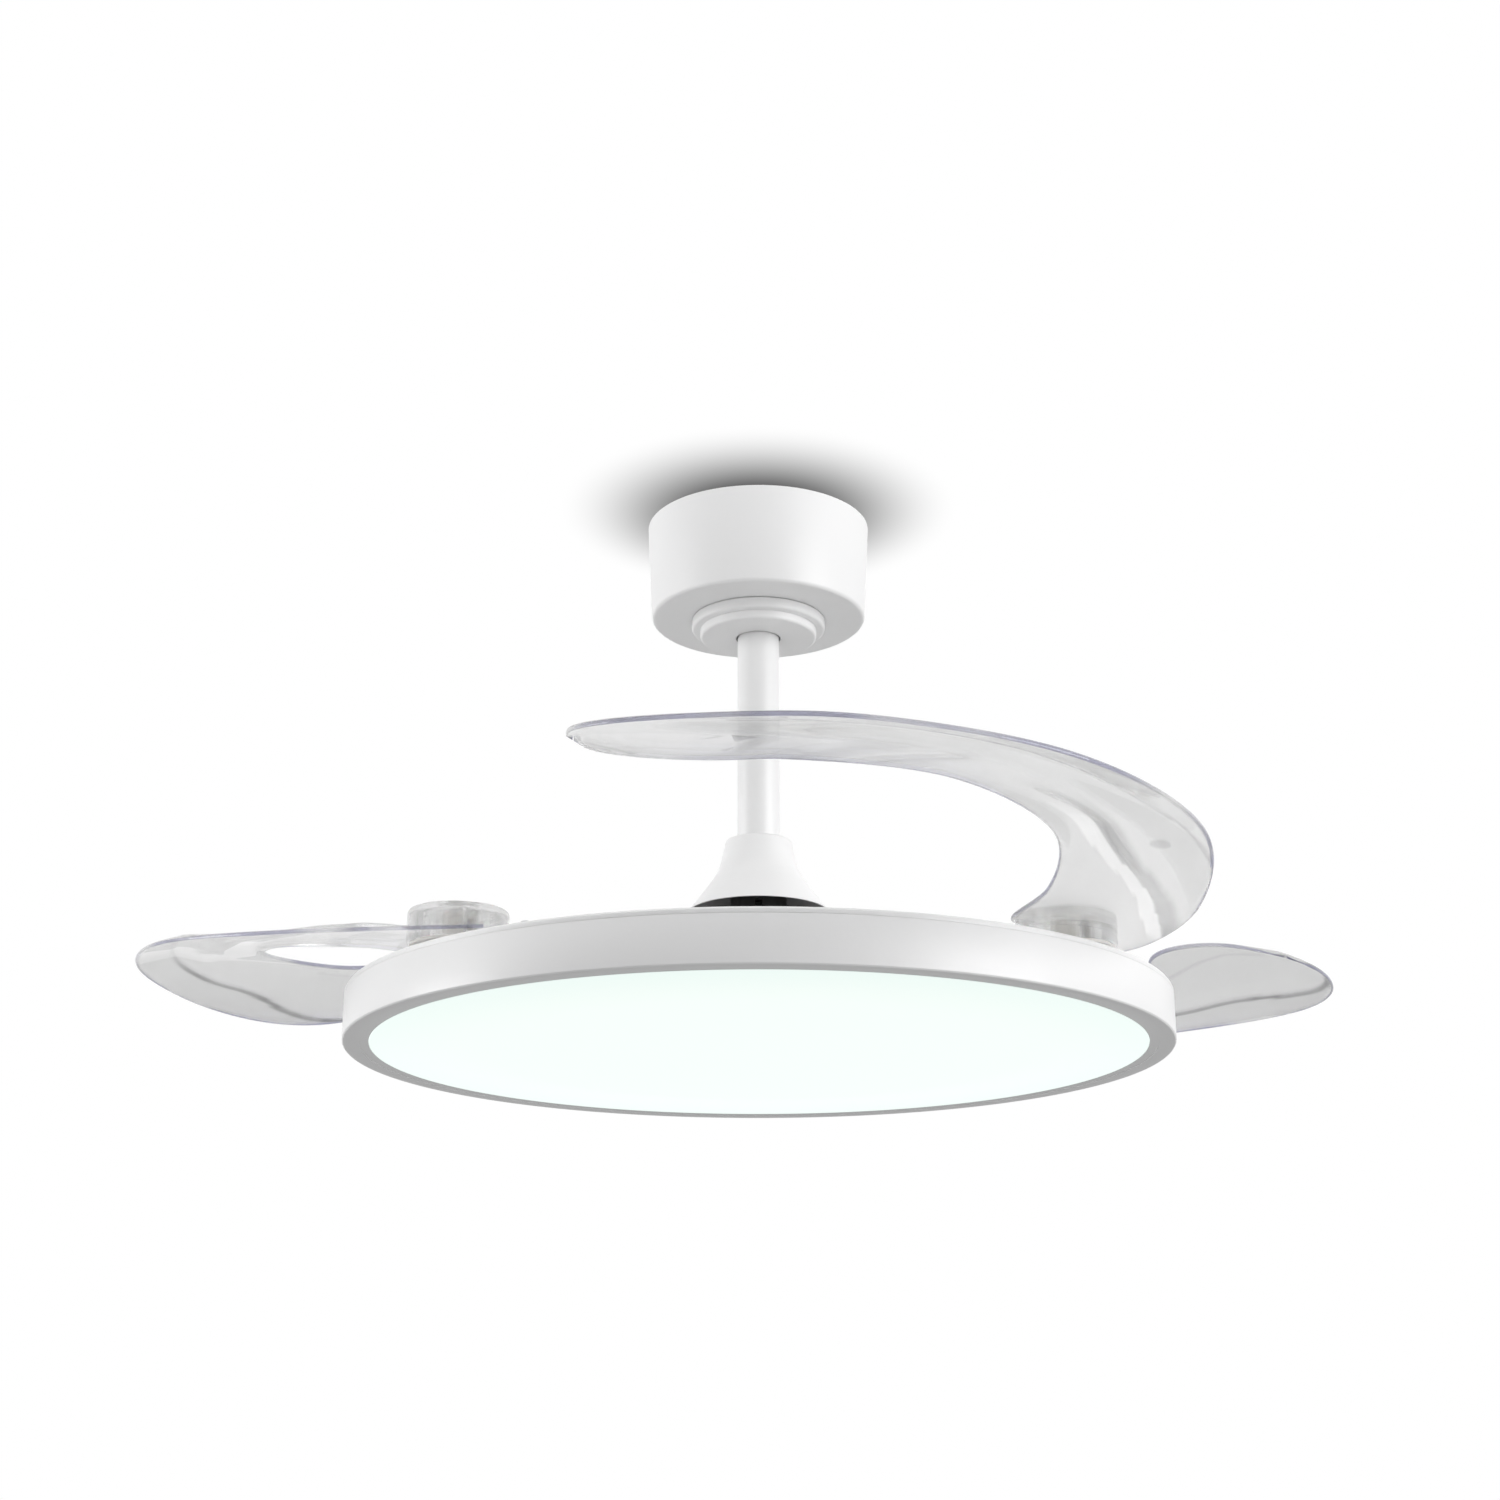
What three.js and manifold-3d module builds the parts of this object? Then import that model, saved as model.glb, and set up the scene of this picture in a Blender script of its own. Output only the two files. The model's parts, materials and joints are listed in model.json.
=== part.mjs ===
// Ceiling fan with a round lamp and three clear blades that fold in over the lamp.
// Millimetres, +Z up. The origin is the middle of the ceiling bracket's top face, on the ceiling.
// Pieces below the canopy are drawn in a group whose zero is the lamp's underside.
import * as THREE from 'three';
import { mergeVertices } from 'three/addons/utils/BufferGeometryUtils.js';
import Module from 'manifold-3d';

const wasm = await Module();
wasm.setup();

// ---------------------------------------------------------------- driving dimensions

const GAP = 0.3; // between two pieces that are fixed face to face
const DROP = 346.5; // ceiling to the lamp's underside
const TURN = Math.PI * 2;
const BLADES = 3;
// sides of a full circle, by the size of the piece
const facets = { lamp: 36, shell: 24, motor: 24, boss: 16, shaft: 14, screw: 8 };

const canopy = { height: 63.5, topR: 72, bottomR: 69, wall: 1.5, fillet: 2.5, holeR: 22 };
const bracket = {
  plateR: 60, plate: 2, legX: 44, legW: 28, leg: 2.2, seatWall: 2.7, slotY: 44, slotL: 16, slotW: 5.4,
};
const wireHole = { r: 7, x: -30, y: 38 };
const collar = { upperR: 43, upperH: 6.6, lowerR: 37.5, lowerH: 5.4, wall: 1.5, rodGap: 1, fillet: 1.8 };
const ball = { r: 22, above: 14, below: 16, pinUp: 5, pinR: 2.8, pinHalf: 19, screwDown: 4, screwR: 2.2 };
const receiver = { x: 76, y: 42, z: 18, corner: 4 };
const terminal = { x: 30, y: 13, z: 11, atX: 24, atY: 37, ways: 3 };
const canopyScrew = { atX: 33, shankR: 1.9, headR: 3.6, headH: 2.2 };

const rod = { r: 13.35, wall: 1.7, aboveBall: 4, bottom: 97.3 };

// heights from here on are above the lamp's underside
const bell = { topZ: 134.7, topR: 19.5, wall: 1.8, neck: 7 };
const bellCurve = [[44, 88.5], [37.6, 97], [30.6, 106.4], [25.4, 115], [22.6, 125], [21.4, 131]];
const yoke = {
  r: 17.5, bottom: 76, top: 122, pinZ: 110, pinR: 3, pinHalf: 19.6, slit: 4, screwZ: 86, screwR: 2.2,
};
const shaft = { r: 8.5, boreR: 4.5, bottom: 19, top: 93, collarR: 14, collarH: 2.4 };

const lamp = { r: 250, height: 30, lip: 3.4, wall: 1.5, plate: 1.5, bezel: 10, seam: 0.3, flange: 10.2 };
const bezelLip = { width: 5.7, up: 0.6 };
const diffuser = { thick: 2.2, clear: 0.4, recess: 0.5, flange: 10, rim: 1.6, sag: 0.5 };
const ledBoard = { innerR: 72, fromFlange: 13, thick: 1.5, chips: 12, chip: 5, chipH: 0.7 };
const driver = { x: 60, y: 38, z: 19, atY: 40, corner: 3 };
const shaftNut = { across: 24, h: 6 };
const lampScrew = { count: 3, fromRim: 7, shankR: 1.6, headR: 3, headH: 1.7 };
const retainer = { width: 7, h: 1.6 };

const turntable = { z: 33, thick: 2.5, discR: 163, holeR: 17, padR: 20 };
const motor = {
  r: 75, wall: 2.7, flange: 8, floor: 2.2, splitZ: 51, edgeZ: 61, topZ: 67.5, neckR: 20, boreR: 12,
  seatWall: 2.6, round: 5, capR: 10, cap: 1.7,
};
const bearing = { r: 16, h: 7, lowerZ: 38, upperZ: 62.5 };
const stator = { teeth: 12, hubR: 28, neck: 7, shoeR: 67.5, shoe: 3, height: 12, midZ: 52.5, coil: 3 };
const magnet = { thick: 3.8, height: 16 };
const rotorScrew = { count: 3, inFlange: 4.2, shankR: 1.5, headR: 2.8, headH: 1.8 };

const pivotAngle = -28.6; // of blade 1, seen from above
const openAngle = 56; // folded to the stored pose
const furtherOpening = 40; // stored pose to wide open
const bolt = { r: 4.9, flangeR: 8, flangeH: 1, top: 62, headR: 8.4, headH: 1.6, socketR: 2.6 };
const bush = { clear: 0.3, wall: 1.7 };
const sleeveWall = 1.8;
const gear = { module: 3, teeth: 18, ringTeeth: 116, z: 36.1, top: 41, pressure: 20, backlash: 0.5 };
const gearHub = { r: 18, flangeR: 27.5, flange: 1.5, top: 43.5, cavityR: 14.4, roof: 1.6 };
const gearPin = { count: 3, atR: 20, r: 1.8, reach: 11, turn: 30 };
const spring = { wireR: 0.8, coilR: 12.4, pitch: 2.1, turns: 2, sides: 5, steps: 8 };
const syncRing = { z: 35.8, top: 41, width: 22, band: 16, lugL: 13, lugW: 8 };
const bumper = { r: 4, h: 6, edge: 0.8 };
const guide = { r: 4.5, flangeR: 7.5, flangeH: 1.5, studR: 1.9, ahead: 30 };

const foot = { r: 29, wall: 2.6, bottom: 43.8, top: 63, plate: 3, columnR: 4, fillet: 2 };
const sheet = { thick: 3.2, outerR: 247, crown: 2.5, rows: 15, across: 4, tip: 56, tipRows: 7, tipRise: 2.6 };
// stations along a folded blade: angle behind the pivot, width, height of the outer and inner edge
const bladeStations = [
  { angle: -5, inset: 9, width: 55, outer: 46, inner: 60 },
  { angle: 8, inset: 7, width: 89, outer: 45, inner: 51.8 },
  { angle: 24, inset: 7, width: 82.5, outer: 48.2, inner: 57.2 },
  { angle: 52, inset: 4.4, width: 77.5, outer: 59, inner: 67.8 },
  { angle: 80, inset: 7, width: 84.3, outer: 67.4, inner: 78.6 },
  { angle: 110, inset: 2.4, width: 116.7, outer: 69.2, inner: 87 },
  { angle: 127, inset: 0, width: 140.2, outer: 67.5, inner: 93.2 },
];

// ---------------------------------------------------------------- sizes that follow

const canopyFloorTop = -canopy.height + canopy.wall;
const seatBelowBall = ball.below + 3.1;
const ballZ = canopyFloorTop + GAP + seatBelowBall;
const collarTop = -canopy.height - GAP;
const collarStep = collarTop - collar.upperH;
const collarBottom = collarStep - collar.lowerH;
const rodTop = ballZ + ball.above + rod.aboveBall;
const rodSeatR = rod.r + GAP;
const panUnder = lamp.height - lamp.plate;
const ringInnerR = lamp.r - lamp.wall;
const openingR = lamp.r - lamp.bezel - bezelLip.width;
const lampScrewR = lamp.r - lampScrew.fromRim;
const flangeInnerR = ringInnerR - GAP - lamp.flange;
const boardOuterR = flangeInnerR - ledBoard.fromFlange;
const turntableTop = turntable.z + turntable.thick;
const rotorFloor = turntableTop + GAP;
const shellInnerR = motor.r - motor.wall;
const motorFlangeR = motor.r + motor.flange;
const rotorScrewR = motor.r + rotorScrew.inFlange;
const bearingSeatR = bearing.r + GAP;
const magnetOuterR = shellInnerR - GAP;
const gearPitchR = (gear.module * gear.teeth) / 2;
const ringPitchR = (gear.module * gear.ringTeeth) / 2;
const pivotR = ringPitchR + gearPitchR; // fan axis to each blade's pivot
const syncInnerR = ringPitchR - syncRing.width;
const addendum = gear.module;
const dedendum = gear.module * 1.25;
const bushInnerR = bolt.r + bush.clear;
const bushOuterR = bushInnerR + bush.wall;
const sleeveR = bushOuterR + GAP + sleeveWall;
const footCavityTop = foot.top - foot.plate;
const guideR = syncInnerR - GAP - guide.r;
const ringRatio = gear.teeth / gear.ringTeeth;
const rad = THREE.MathUtils.degToRad;

// ---------------------------------------------------------------- solids

function closedGeometry(geometry) {
  const bare = geometry.clone();
  bare.deleteAttribute('normal');
  bare.deleteAttribute('uv');
  const merged = mergeVertices(bare, 1e-4);
  const corner = merged.getAttribute('position');
  const kept = [];
  let volume = 0;
  const a = new THREE.Vector3();
  const b = new THREE.Vector3();
  const c = new THREE.Vector3();
  for (let i = 0; i < merged.index.count; i += 3) {
    const [p, q, r] = [0, 1, 2].map((k) => merged.index.getX(i + k));
    if (p === q || q === r || r === p) continue;
    kept.push(p, q, r);
    a.fromBufferAttribute(corner, p);
    b.fromBufferAttribute(corner, q);
    c.fromBufferAttribute(corner, r);
    volume += a.dot(b.cross(c));
  }
  if (volume < 0) kept.reverse();
  merged.setIndex(kept);
  return merged;
}

function solid(geometry) {
  const closed = closedGeometry(geometry);
  const vertProperties = new Float32Array(closed.getAttribute('position').array);
  const triVerts = new Uint32Array(closed.index.array);
  return new wasm.Manifold(new wasm.Mesh({ numProp: 3, vertProperties, triVerts }));
}

function fromSolid(body) {
  const mesh = body.getMesh();
  const geometry = new THREE.BufferGeometry();
  geometry.setAttribute('position', new THREE.BufferAttribute(new Float32Array(mesh.vertProperties), 3));
  geometry.setIndex(Array.from(mesh.triVerts));
  geometry.computeVertexNormals();
  return geometry;
}

const join = (...geometries) => fromSolid(geometries.map(solid).reduce((sum, next) => sum.add(next)));
const cut = (body, ...tools) => fromSolid(
  tools.map(solid).reduce((rest, tool) => rest.subtract(tool), solid(body)));

// profile points are [radius, height]; the last joins the first
function lathe(profile, segments = facets.shell) {
  const points = [...profile, profile[0]].map(([r, z]) => new THREE.Vector2(Math.max(r, 0), z));
  const geometry = new THREE.LatheGeometry(points, segments);
  geometry.rotateX(Math.PI / 2);
  return closedGeometry(geometry);
}

function arcPoints(cx, cz, r, from, to, steps) {
  return Array.from({ length: steps + 1 }, (_, i) => {
    const angle = rad(from + ((to - from) * i) / steps);
    return [cx + r * Math.cos(angle), cz + r * Math.sin(angle)];
  });
}

function box(x0, x1, y0, y1, z0, z1) {
  const geometry = new THREE.BoxGeometry(x1 - x0, y1 - y0, z1 - z0);
  return geometry.translate((x0 + x1) / 2, (y0 + y1) / 2, (z0 + z1) / 2);
}

function disc(r, z0, z1, segments = facets.shaft, x = 0, y = 0) {
  const geometry = new THREE.CylinderGeometry(r, r, z1 - z0, segments);
  return geometry.rotateX(Math.PI / 2).translate(x, y, (z0 + z1) / 2);
}

// a round bar along X or Y, from one coordinate to the other
function bar(axis, r, from, to, z, segments = facets.screw) {
  const geometry = new THREE.CylinderGeometry(r, r, to - from, segments);
  if (axis === 'x') geometry.rotateZ(Math.PI / 2).translate((from + to) / 2, 0, z);
  else geometry.translate(0, (from + to) / 2, z);
  return geometry;
}

function plate(shape, z0, z1, curveSegments = 10) {
  const geometry = new THREE.ExtrudeGeometry(shape, { depth: z1 - z0, bevelEnabled: false, curveSegments });
  return geometry.translate(0, 0, z0);
}

function roundedRectangle(x, y, corner) {
  const shape = new THREE.Shape();
  shape.moveTo(-x / 2 + corner, -y / 2);
  shape.absarc(x / 2 - corner, -y / 2 + corner, corner, -Math.PI / 2, 0);
  shape.absarc(x / 2 - corner, y / 2 - corner, corner, 0, Math.PI / 2);
  shape.absarc(-x / 2 + corner, y / 2 - corner, corner, Math.PI / 2, Math.PI);
  shape.absarc(-x / 2 + corner, -y / 2 + corner, corner, Math.PI, Math.PI * 1.5);
  return shape;
}

function polygon(points) {
  return new THREE.Shape(points.map(([x, y]) => new THREE.Vector2(x, y)));
}

const polar = (r, degrees) => [r * Math.cos(rad(degrees)), r * Math.sin(rad(degrees))];
const ringOf = (count, make) => Array.from({ length: count }, (_, i) => make((360 * i) / count, i));

// a ring of round holes through a plate
const screwHoles = (count, r, atR, z0, z1) => ringOf(count,
  (angle) => disc(r, z0, z1, facets.screw, ...polar(atR, angle)));

// a pan-head screw that points down from z, its head above
function screw(headR, headH, shankR, z, length, x = 0, y = 0) {
  const shank = [[shankR, z], [shankR, z - length], [0, z - length]];
  const profile = [[0, z + headH], [headR * 0.6, z + headH], [headR, z], ...shank];
  return lathe(profile, facets.screw).translate(x, y, 0);
}

// ---------------------------------------------------------------- ceiling side

function ceilingBracket() {
  const { slotW, slotL } = bracket;
  const slot = (y) => box(-slotW / 2, slotW / 2, y - slotL / 2, y + slotL / 2, -bracket.plate - 1, 1);
  const top = cut(disc(bracket.plateR, -bracket.plate, 0, facets.shell),
    slot(bracket.slotY), slot(-bracket.slotY),
    disc(wireHole.r, -bracket.plate - 1, 1, 12, wireHole.x, wireHole.y));
  const floor = canopyFloorTop + GAP;
  const seatTop = floor + bracket.leg;
  const half = bracket.legW / 2;
  const leg = (side) => box(side * bracket.legX - bracket.leg / 2, side * bracket.legX + bracket.leg / 2,
    -half, half, floor, -bracket.plate / 2);
  const innerR = ball.r + GAP;
  const rimUp = -5;
  const lowUp = -14.4;
  const angleAt = (up) => THREE.MathUtils.radToDeg(Math.asin(up / innerR));
  const cup = [...arcPoints(0, ballZ, innerR, angleAt(lowUp), angleAt(rimUp), 3)];
  const outerR = cup[cup.length - 1][0] + bracket.seatWall;
  const bowl = lathe([...cup, [outerR, ballZ + rimUp], [outerR, floor], [cup[0][0], floor]], facets.boss);
  const hole = (side) => disc(canopyScrew.shankR + GAP, floor - 1, seatTop + 1, facets.screw,
    side * canopyScrew.atX, 0);
  const reach = bracket.legX + bracket.leg / 2;
  const strip = cut(box(-reach, reach, -half, half, floor, seatTop),
    disc(outerR - 1, floor - 1, seatTop + 1, facets.boss), hole(1), hole(-1));
  return join(top, leg(1), leg(-1), strip, bowl);
}

function canopyShell() {
  const { height, topR, bottomR, wall, fillet, holeR } = canopy;
  const corner = arcPoints(bottomR - fillet, -height + fillet, fillet, 0, -90, 3);
  const shell = lathe([[topR, 0], ...corner, [holeR, -height], [holeR, canopyFloorTop],
    [bottomR - fillet, canopyFloorTop], [bottomR - wall, canopyFloorTop + fillet - wall], [topR - wall, 0]]);
  const hole = (side) => disc(canopyScrew.shankR + GAP, -height - 1, canopyFloorTop + 1, facets.screw,
    side * canopyScrew.atX, 0);
  return cut(shell, hole(1), hole(-1));
}

function canopyScrewBody(side) {
  const top = canopyFloorTop + GAP + bracket.leg;
  const body = screw(canopyScrew.headR, canopyScrew.headH, canopyScrew.shankR, 0, top - collarTop);
  return body.rotateX(Math.PI).translate(side * canopyScrew.atX, 0, collarTop);
}

function canopyCollar() {
  const { upperR, lowerR, wall, fillet } = collar;
  const holeR = rod.r + collar.rodGap;
  const upper = arcPoints(upperR - fillet, collarStep + fillet, fillet, 0, -90, 1);
  const lower = arcPoints(lowerR - fillet, collarBottom + fillet, fillet, 0, -90, 1);
  return lathe([[upperR, collarTop], ...upper, [lowerR, collarStep], ...lower, [holeR, collarBottom],
    [holeR, collarBottom + wall], [lowerR - wall, collarBottom + wall], [lowerR - wall, collarStep + wall],
    [upperR - wall, collarStep + wall], [upperR - wall, collarTop]]);
}

function receiverBox() {
  const top = -bracket.plate - GAP;
  return plate(roundedRectangle(receiver.x, receiver.y, receiver.corner), top - receiver.z, top, 2);
}

function terminalBlock() {
  const top = -bracket.plate - GAP;
  const { x, y, z, atX, atY, ways } = terminal;
  const body = box(atX - x / 2, atX + x / 2, atY - y / 2, atY + y / 2, top - z, top);
  const wells = Array.from({ length: ways }, (_, i) =>
    disc(2.2, top - z - 1, top - z + 6, facets.screw, atX + (i - (ways - 1) / 2) * (x / ways), atY));
  return cut(body, ...wells);
}

// ---------------------------------------------------------------- downrod and hanger

function hangerBall() {
  const angleAt = (up) => THREE.MathUtils.radToDeg(Math.asin(up / ball.r));
  const skin = arcPoints(0, ballZ, ball.r, angleAt(-ball.below), angleAt(ball.above), 6);
  const body = lathe([[rodSeatR, ballZ - ball.below], ...skin, [rodSeatR, ballZ + ball.above]], facets.boss);
  return cut(body, bar('x', ball.pinR + GAP, -ball.r - 1, ball.r + 1, ballZ + ball.pinUp),
    bar('y', ball.screwR + GAP, 0, ball.r + 1, ballZ - ball.screwDown));
}

function hangerPin() {
  return bar('x', ball.pinR, -ball.pinHalf, ball.pinHalf, ballZ + ball.pinUp);
}

function hangerScrew() {
  return bar('y', ball.screwR, rodSeatR, ball.r - 2, ballZ - ball.screwDown);
}

function downrod() {
  const bottom = rod.bottom - DROP;
  const boreR = rod.r - rod.wall;
  const tube = lathe([[rod.r, bottom], [rod.r, rodTop], [boreR, rodTop], [boreR, bottom]], facets.boss);
  return cut(tube, bar('x', ball.pinR + GAP, -rod.r - 1, rod.r + 1, ballZ + ball.pinUp),
    bar('x', yoke.pinR + GAP, -rod.r - 1, rod.r + 1, yoke.pinZ - DROP));
}

function bellCover() {
  const outer = new THREE.SplineCurve(bellCurve.map(([r, z]) => new THREE.Vector2(r, z))).getPoints(5);
  const shoulder = arcPoints(bell.topR - 0.6, bell.topZ - 2.2, 2.2, 20, 90, 2);
  const neckFoot = bell.topZ - bell.neck - 3;
  const inner = outer.filter((p) => p.y < neckFoot).map((p) => [p.x - bell.wall, p.y]).reverse();
  const body = lathe([...outer.map((p) => [p.x, p.y]), ...shoulder, [rodSeatR, bell.topZ],
    [rodSeatR, bell.topZ - bell.neck], ...inner]);
  return cut(body, bar('y', 1.8, rodSeatR - 1, bell.topR + 6, bell.topZ - bell.neck / 2));
}

function bellScrew() {
  return bar('y', 1.5, rodSeatR, bell.topR + 1, bell.topZ - bell.neck / 2);
}

function yokeBody() {
  const shaftSeat = shaft.r + GAP;
  const step = rod.bottom - GAP;
  const body = lathe([[yoke.r, yoke.bottom + 1], [yoke.r, yoke.top], [rodSeatR, yoke.top], [rodSeatR, step],
    [shaftSeat, step], [shaftSeat, yoke.bottom], [yoke.r - 1, yoke.bottom]], facets.boss);
  return cut(body, bar('x', yoke.pinR + GAP, -yoke.r - 1, yoke.r + 1, yoke.pinZ),
    box(-yoke.slit / 2, yoke.slit / 2, -yoke.r - 1, 0, yoke.bottom - 1, step - 3),
    bar('y', yoke.screwR + GAP, 0, yoke.r + 1, yoke.screwZ));
}

function yokeSetScrew() {
  return bar('y', yoke.screwR, shaft.r + GAP, yoke.r + 0.8, yoke.screwZ);
}

function yokePin() {
  const { pinR, pinHalf } = yoke;
  const groove = pinHalf - 1.3;
  const profile = [[0, -pinHalf - 1.6], [pinR + 1.5, -pinHalf - 1.6], [pinR + 1.5, -yoke.r - GAP],
    [pinR, -yoke.r - GAP], [pinR, groove - 0.6], [pinR - 0.8, groove - 0.6], [pinR - 0.8, groove + 0.6],
    [pinR, groove + 0.6], [pinR, pinHalf], [0, pinHalf]];
  return lathe(profile, 12).rotateY(Math.PI / 2).translate(0, 0, yoke.pinZ);
}

function pinClip() {
  const inner = yoke.pinR - 0.8 + GAP;
  const shape = new THREE.Shape();
  shape.absarc(0, 0, yoke.pinR + 2.2, rad(40), rad(320));
  shape.absarc(0, 0, inner, rad(320), rad(40), true);
  const groove = yoke.pinHalf - 1.3;
  return plate(shape, groove - 0.3, groove + 0.3, 6).rotateY(Math.PI / 2).translate(0, 0, yoke.pinZ);
}

// ---------------------------------------------------------------- fixed shaft and lamp

function motorShaft() {
  const { r, boreR, bottom, top, collarR, collarH } = shaft;
  const seat = lamp.height + GAP;
  return lathe([[r, bottom], [r, seat], [collarR, seat], [collarR, seat + collarH], [r, seat + collarH],
    [r, top], [boreR, top], [boreR, bottom]], facets.shaft);
}

function shaftNutBody() {
  const corners = ringOf(6, (angle) => polar(shaftNut.across / 2 / Math.cos(Math.PI / 6), angle));
  const shape = polygon(corners);
  shape.holes.push(new THREE.Path().absarc(0, 0, shaft.r + GAP, 0, TURN, true));
  return plate(shape, panUnder - GAP - shaftNut.h, panUnder - GAP, 8);
}

function lampPan() {
  const { r, height, lip } = lamp;
  const holeR = shaft.r + GAP;
  const pan = lathe([[r, height - lip], [r, height], [holeR, height], [holeR, panUnder],
    [r - lamp.wall, panUnder], [r - lamp.wall, height - lip]], facets.lamp);
  const { count, shankR } = lampScrew;
  return cut(pan, ...screwHoles(count, shankR + GAP, lampScrewR, panUnder - 1, height + 1));
}

function lampRing() {
  const { r, height, lip, wall, bezel, seam } = lamp;
  const wallTop = height - lip - seam;
  const flangeR = ringInnerR - GAP;
  const flangeTop = panUnder - GAP;
  const flangeUnder = flangeTop - wall;
  const lipTop = wall + bezelLip.up;
  const ring = lathe([[r, 0], [r, wallTop], [flangeR, wallTop], [flangeR, flangeTop],
    [flangeInnerR, flangeTop], [flangeInnerR, flangeUnder], [flangeR - wall, flangeUnder],
    [flangeR - wall, lipTop], [openingR, lipTop], [openingR, bezelLip.up], [r - bezel, bezelLip.up],
    [r - bezel, 0]], facets.lamp);
  const { count, shankR } = lampScrew;
  return cut(ring, ...screwHoles(count, shankR + GAP, lampScrewR, flangeUnder - 1, flangeTop + 1));
}

function lampScrewBody(angle) {
  const z = lamp.height + GAP;
  const length = z - panUnder + GAP + lamp.wall;
  return screw(lampScrew.headR, lampScrew.headH, lampScrew.shankR, z, length, ...polar(lampScrewR, angle));
}

function diffuserDisc() {
  const seat = lamp.wall + bezelLip.up + GAP;
  const r = openingR - diffuser.clear;
  const { thick, recess, flange, rim, sag } = diffuser;
  return lathe([[0, recess - sag], [r * 0.7, recess - sag * 0.5], [r, recess], [r, seat],
    [r + flange, seat], [r + flange, seat + rim], [r - thick, seat + rim],
    [r * 0.8, recess + thick], [0, recess + thick - sag]], facets.lamp);
}

function diffuserRetainer() {
  const z = lamp.wall + bezelLip.up + 2 * GAP + diffuser.rim;
  const outer = ringInnerR - GAP - lamp.wall - GAP;
  const inner = outer - retainer.width;
  return lathe([[inner, z], [outer, z], [outer, z + retainer.h], [inner, z + retainer.h]], facets.lamp);
}

function ledBoardRing() {
  const top = panUnder - GAP;
  const { innerR, thick, chips, chip, chipH } = ledBoard;
  const board = lathe([[innerR, top - thick], [boardOuterR, top - thick], [boardOuterR, top], [innerR, top]],
    facets.motor);
  const chipAt = (angle, i) => {
    const r = boardOuterR * (i % 2 ? 0.82 : 0.5);
    const body = box(r - chip / 2, r + chip / 2, -chip / 2, chip / 2, top - thick - chipH, top - thick / 2);
    return body.rotateZ(rad(angle));
  };
  return join(board, ...ringOf(chips, chipAt));
}

function ledDriver() {
  const top = panUnder - GAP;
  const body = plate(roundedRectangle(driver.x, driver.y, driver.corner), top - driver.z, top, 2);
  return body.translate(0, driver.atY, 0);
}

// ---------------------------------------------------------------- motor

function bearingRing(z) {
  const bore = shaft.r + GAP;
  const { r, h } = bearing;
  return lathe([[bore, z], [r, z], [r, z + h], [bore, z + h]], facets.boss);
}

function statorCore() {
  const { teeth, hubR, neck, shoeR, shoe, height, midZ } = stator;
  const boreR = shaft.r + GAP;
  const shoeHalf = 360 / teeth / 2 - 2.2;
  const neckHalf = (r) => THREE.MathUtils.radToDeg(Math.asin(neck / 2 / r));
  const outline = ringOf(teeth, (angle) => [
    polar(hubR, angle - neckHalf(hubR)), polar(shoeR - shoe, angle - neckHalf(shoeR - shoe)),
    polar(shoeR - 1, angle - shoeHalf), polar(shoeR, angle - shoeHalf + 1),
    polar(shoeR, angle + shoeHalf - 1), polar(shoeR - 1, angle + shoeHalf),
    polar(shoeR - shoe, angle + neckHalf(shoeR - shoe)), polar(hubR, angle + neckHalf(hubR))]).flat();
  const shape = polygon(outline);
  shape.holes.push(new THREE.Path().absarc(0, 0, boreR, 0, TURN, true));
  return plate(shape, midZ - height / 2, midZ + height / 2, 8);
}

function statorWindings() {
  const { teeth, hubR, neck, shoeR, shoe, height, midZ, coil } = stator;
  const innerX = neck / 2 + GAP;
  const innerY = height / 2 + GAP;
  const [outerX, outerY] = [innerX + coil, innerY + coil];
  const shape = polygon([[-outerX, -outerY], [outerX, -outerY], [outerX, outerY], [-outerX, outerY]]);
  shape.holes.push(polygon([[-innerX, -innerY], [-innerX, innerY], [innerX, innerY], [innerX, -innerY]]));
  const start = hubR + 3;
  const end = shoeR - shoe - 2.5;
  const wound = plate(shape, start, end, 2).rotateX(Math.PI / 2).rotateZ(Math.PI / 2);
  const coils = ringOf(teeth, (angle) => wound.clone().rotateZ(rad(angle)).translate(0, 0, midZ));
  const link = midZ + innerY + coil / 2;
  const linkRing = lathe([[start, link - 1], [start + 3, link - 1], [start + 3, link + 1], [start, link + 1]],
    facets.motor);
  return join(linkRing, ...coils);
}

function magnetRing() {
  const { thick, height } = magnet;
  const z = stator.midZ - height / 2;
  return lathe([[magnetOuterR - thick, z], [magnetOuterR, z], [magnetOuterR, z + height],
    [magnetOuterR - thick, z + height]], facets.motor);
}

function motorLowerShell() {
  const { r, floor, splitZ, boreR, seatWall } = motor;
  const { lowerZ, h } = bearing;
  const cupR = bearingSeatR + seatWall;
  const floorTop = rotorFloor + floor;
  const skirtTop = splitZ - GAP;
  const flange = [[boreR, rotorFloor], [motorFlangeR, rotorFloor], [motorFlangeR, floorTop], [r, floorTop]];
  const skirt = [[r, skirtTop], [shellInnerR, skirtTop], [shellInnerR, floorTop], [cupR, floorTop]];
  const seat = [[cupR, lowerZ + h], [bearingSeatR, lowerZ + h], [bearingSeatR, lowerZ - GAP],
    [boreR, lowerZ - GAP]];
  const shell = lathe([...flange, ...skirt, ...seat], facets.motor);
  const { count, shankR } = rotorScrew;
  return cut(shell, ...screwHoles(count, shankR + GAP, rotorScrewR, rotorFloor - 1, floorTop + 1));
}

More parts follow.
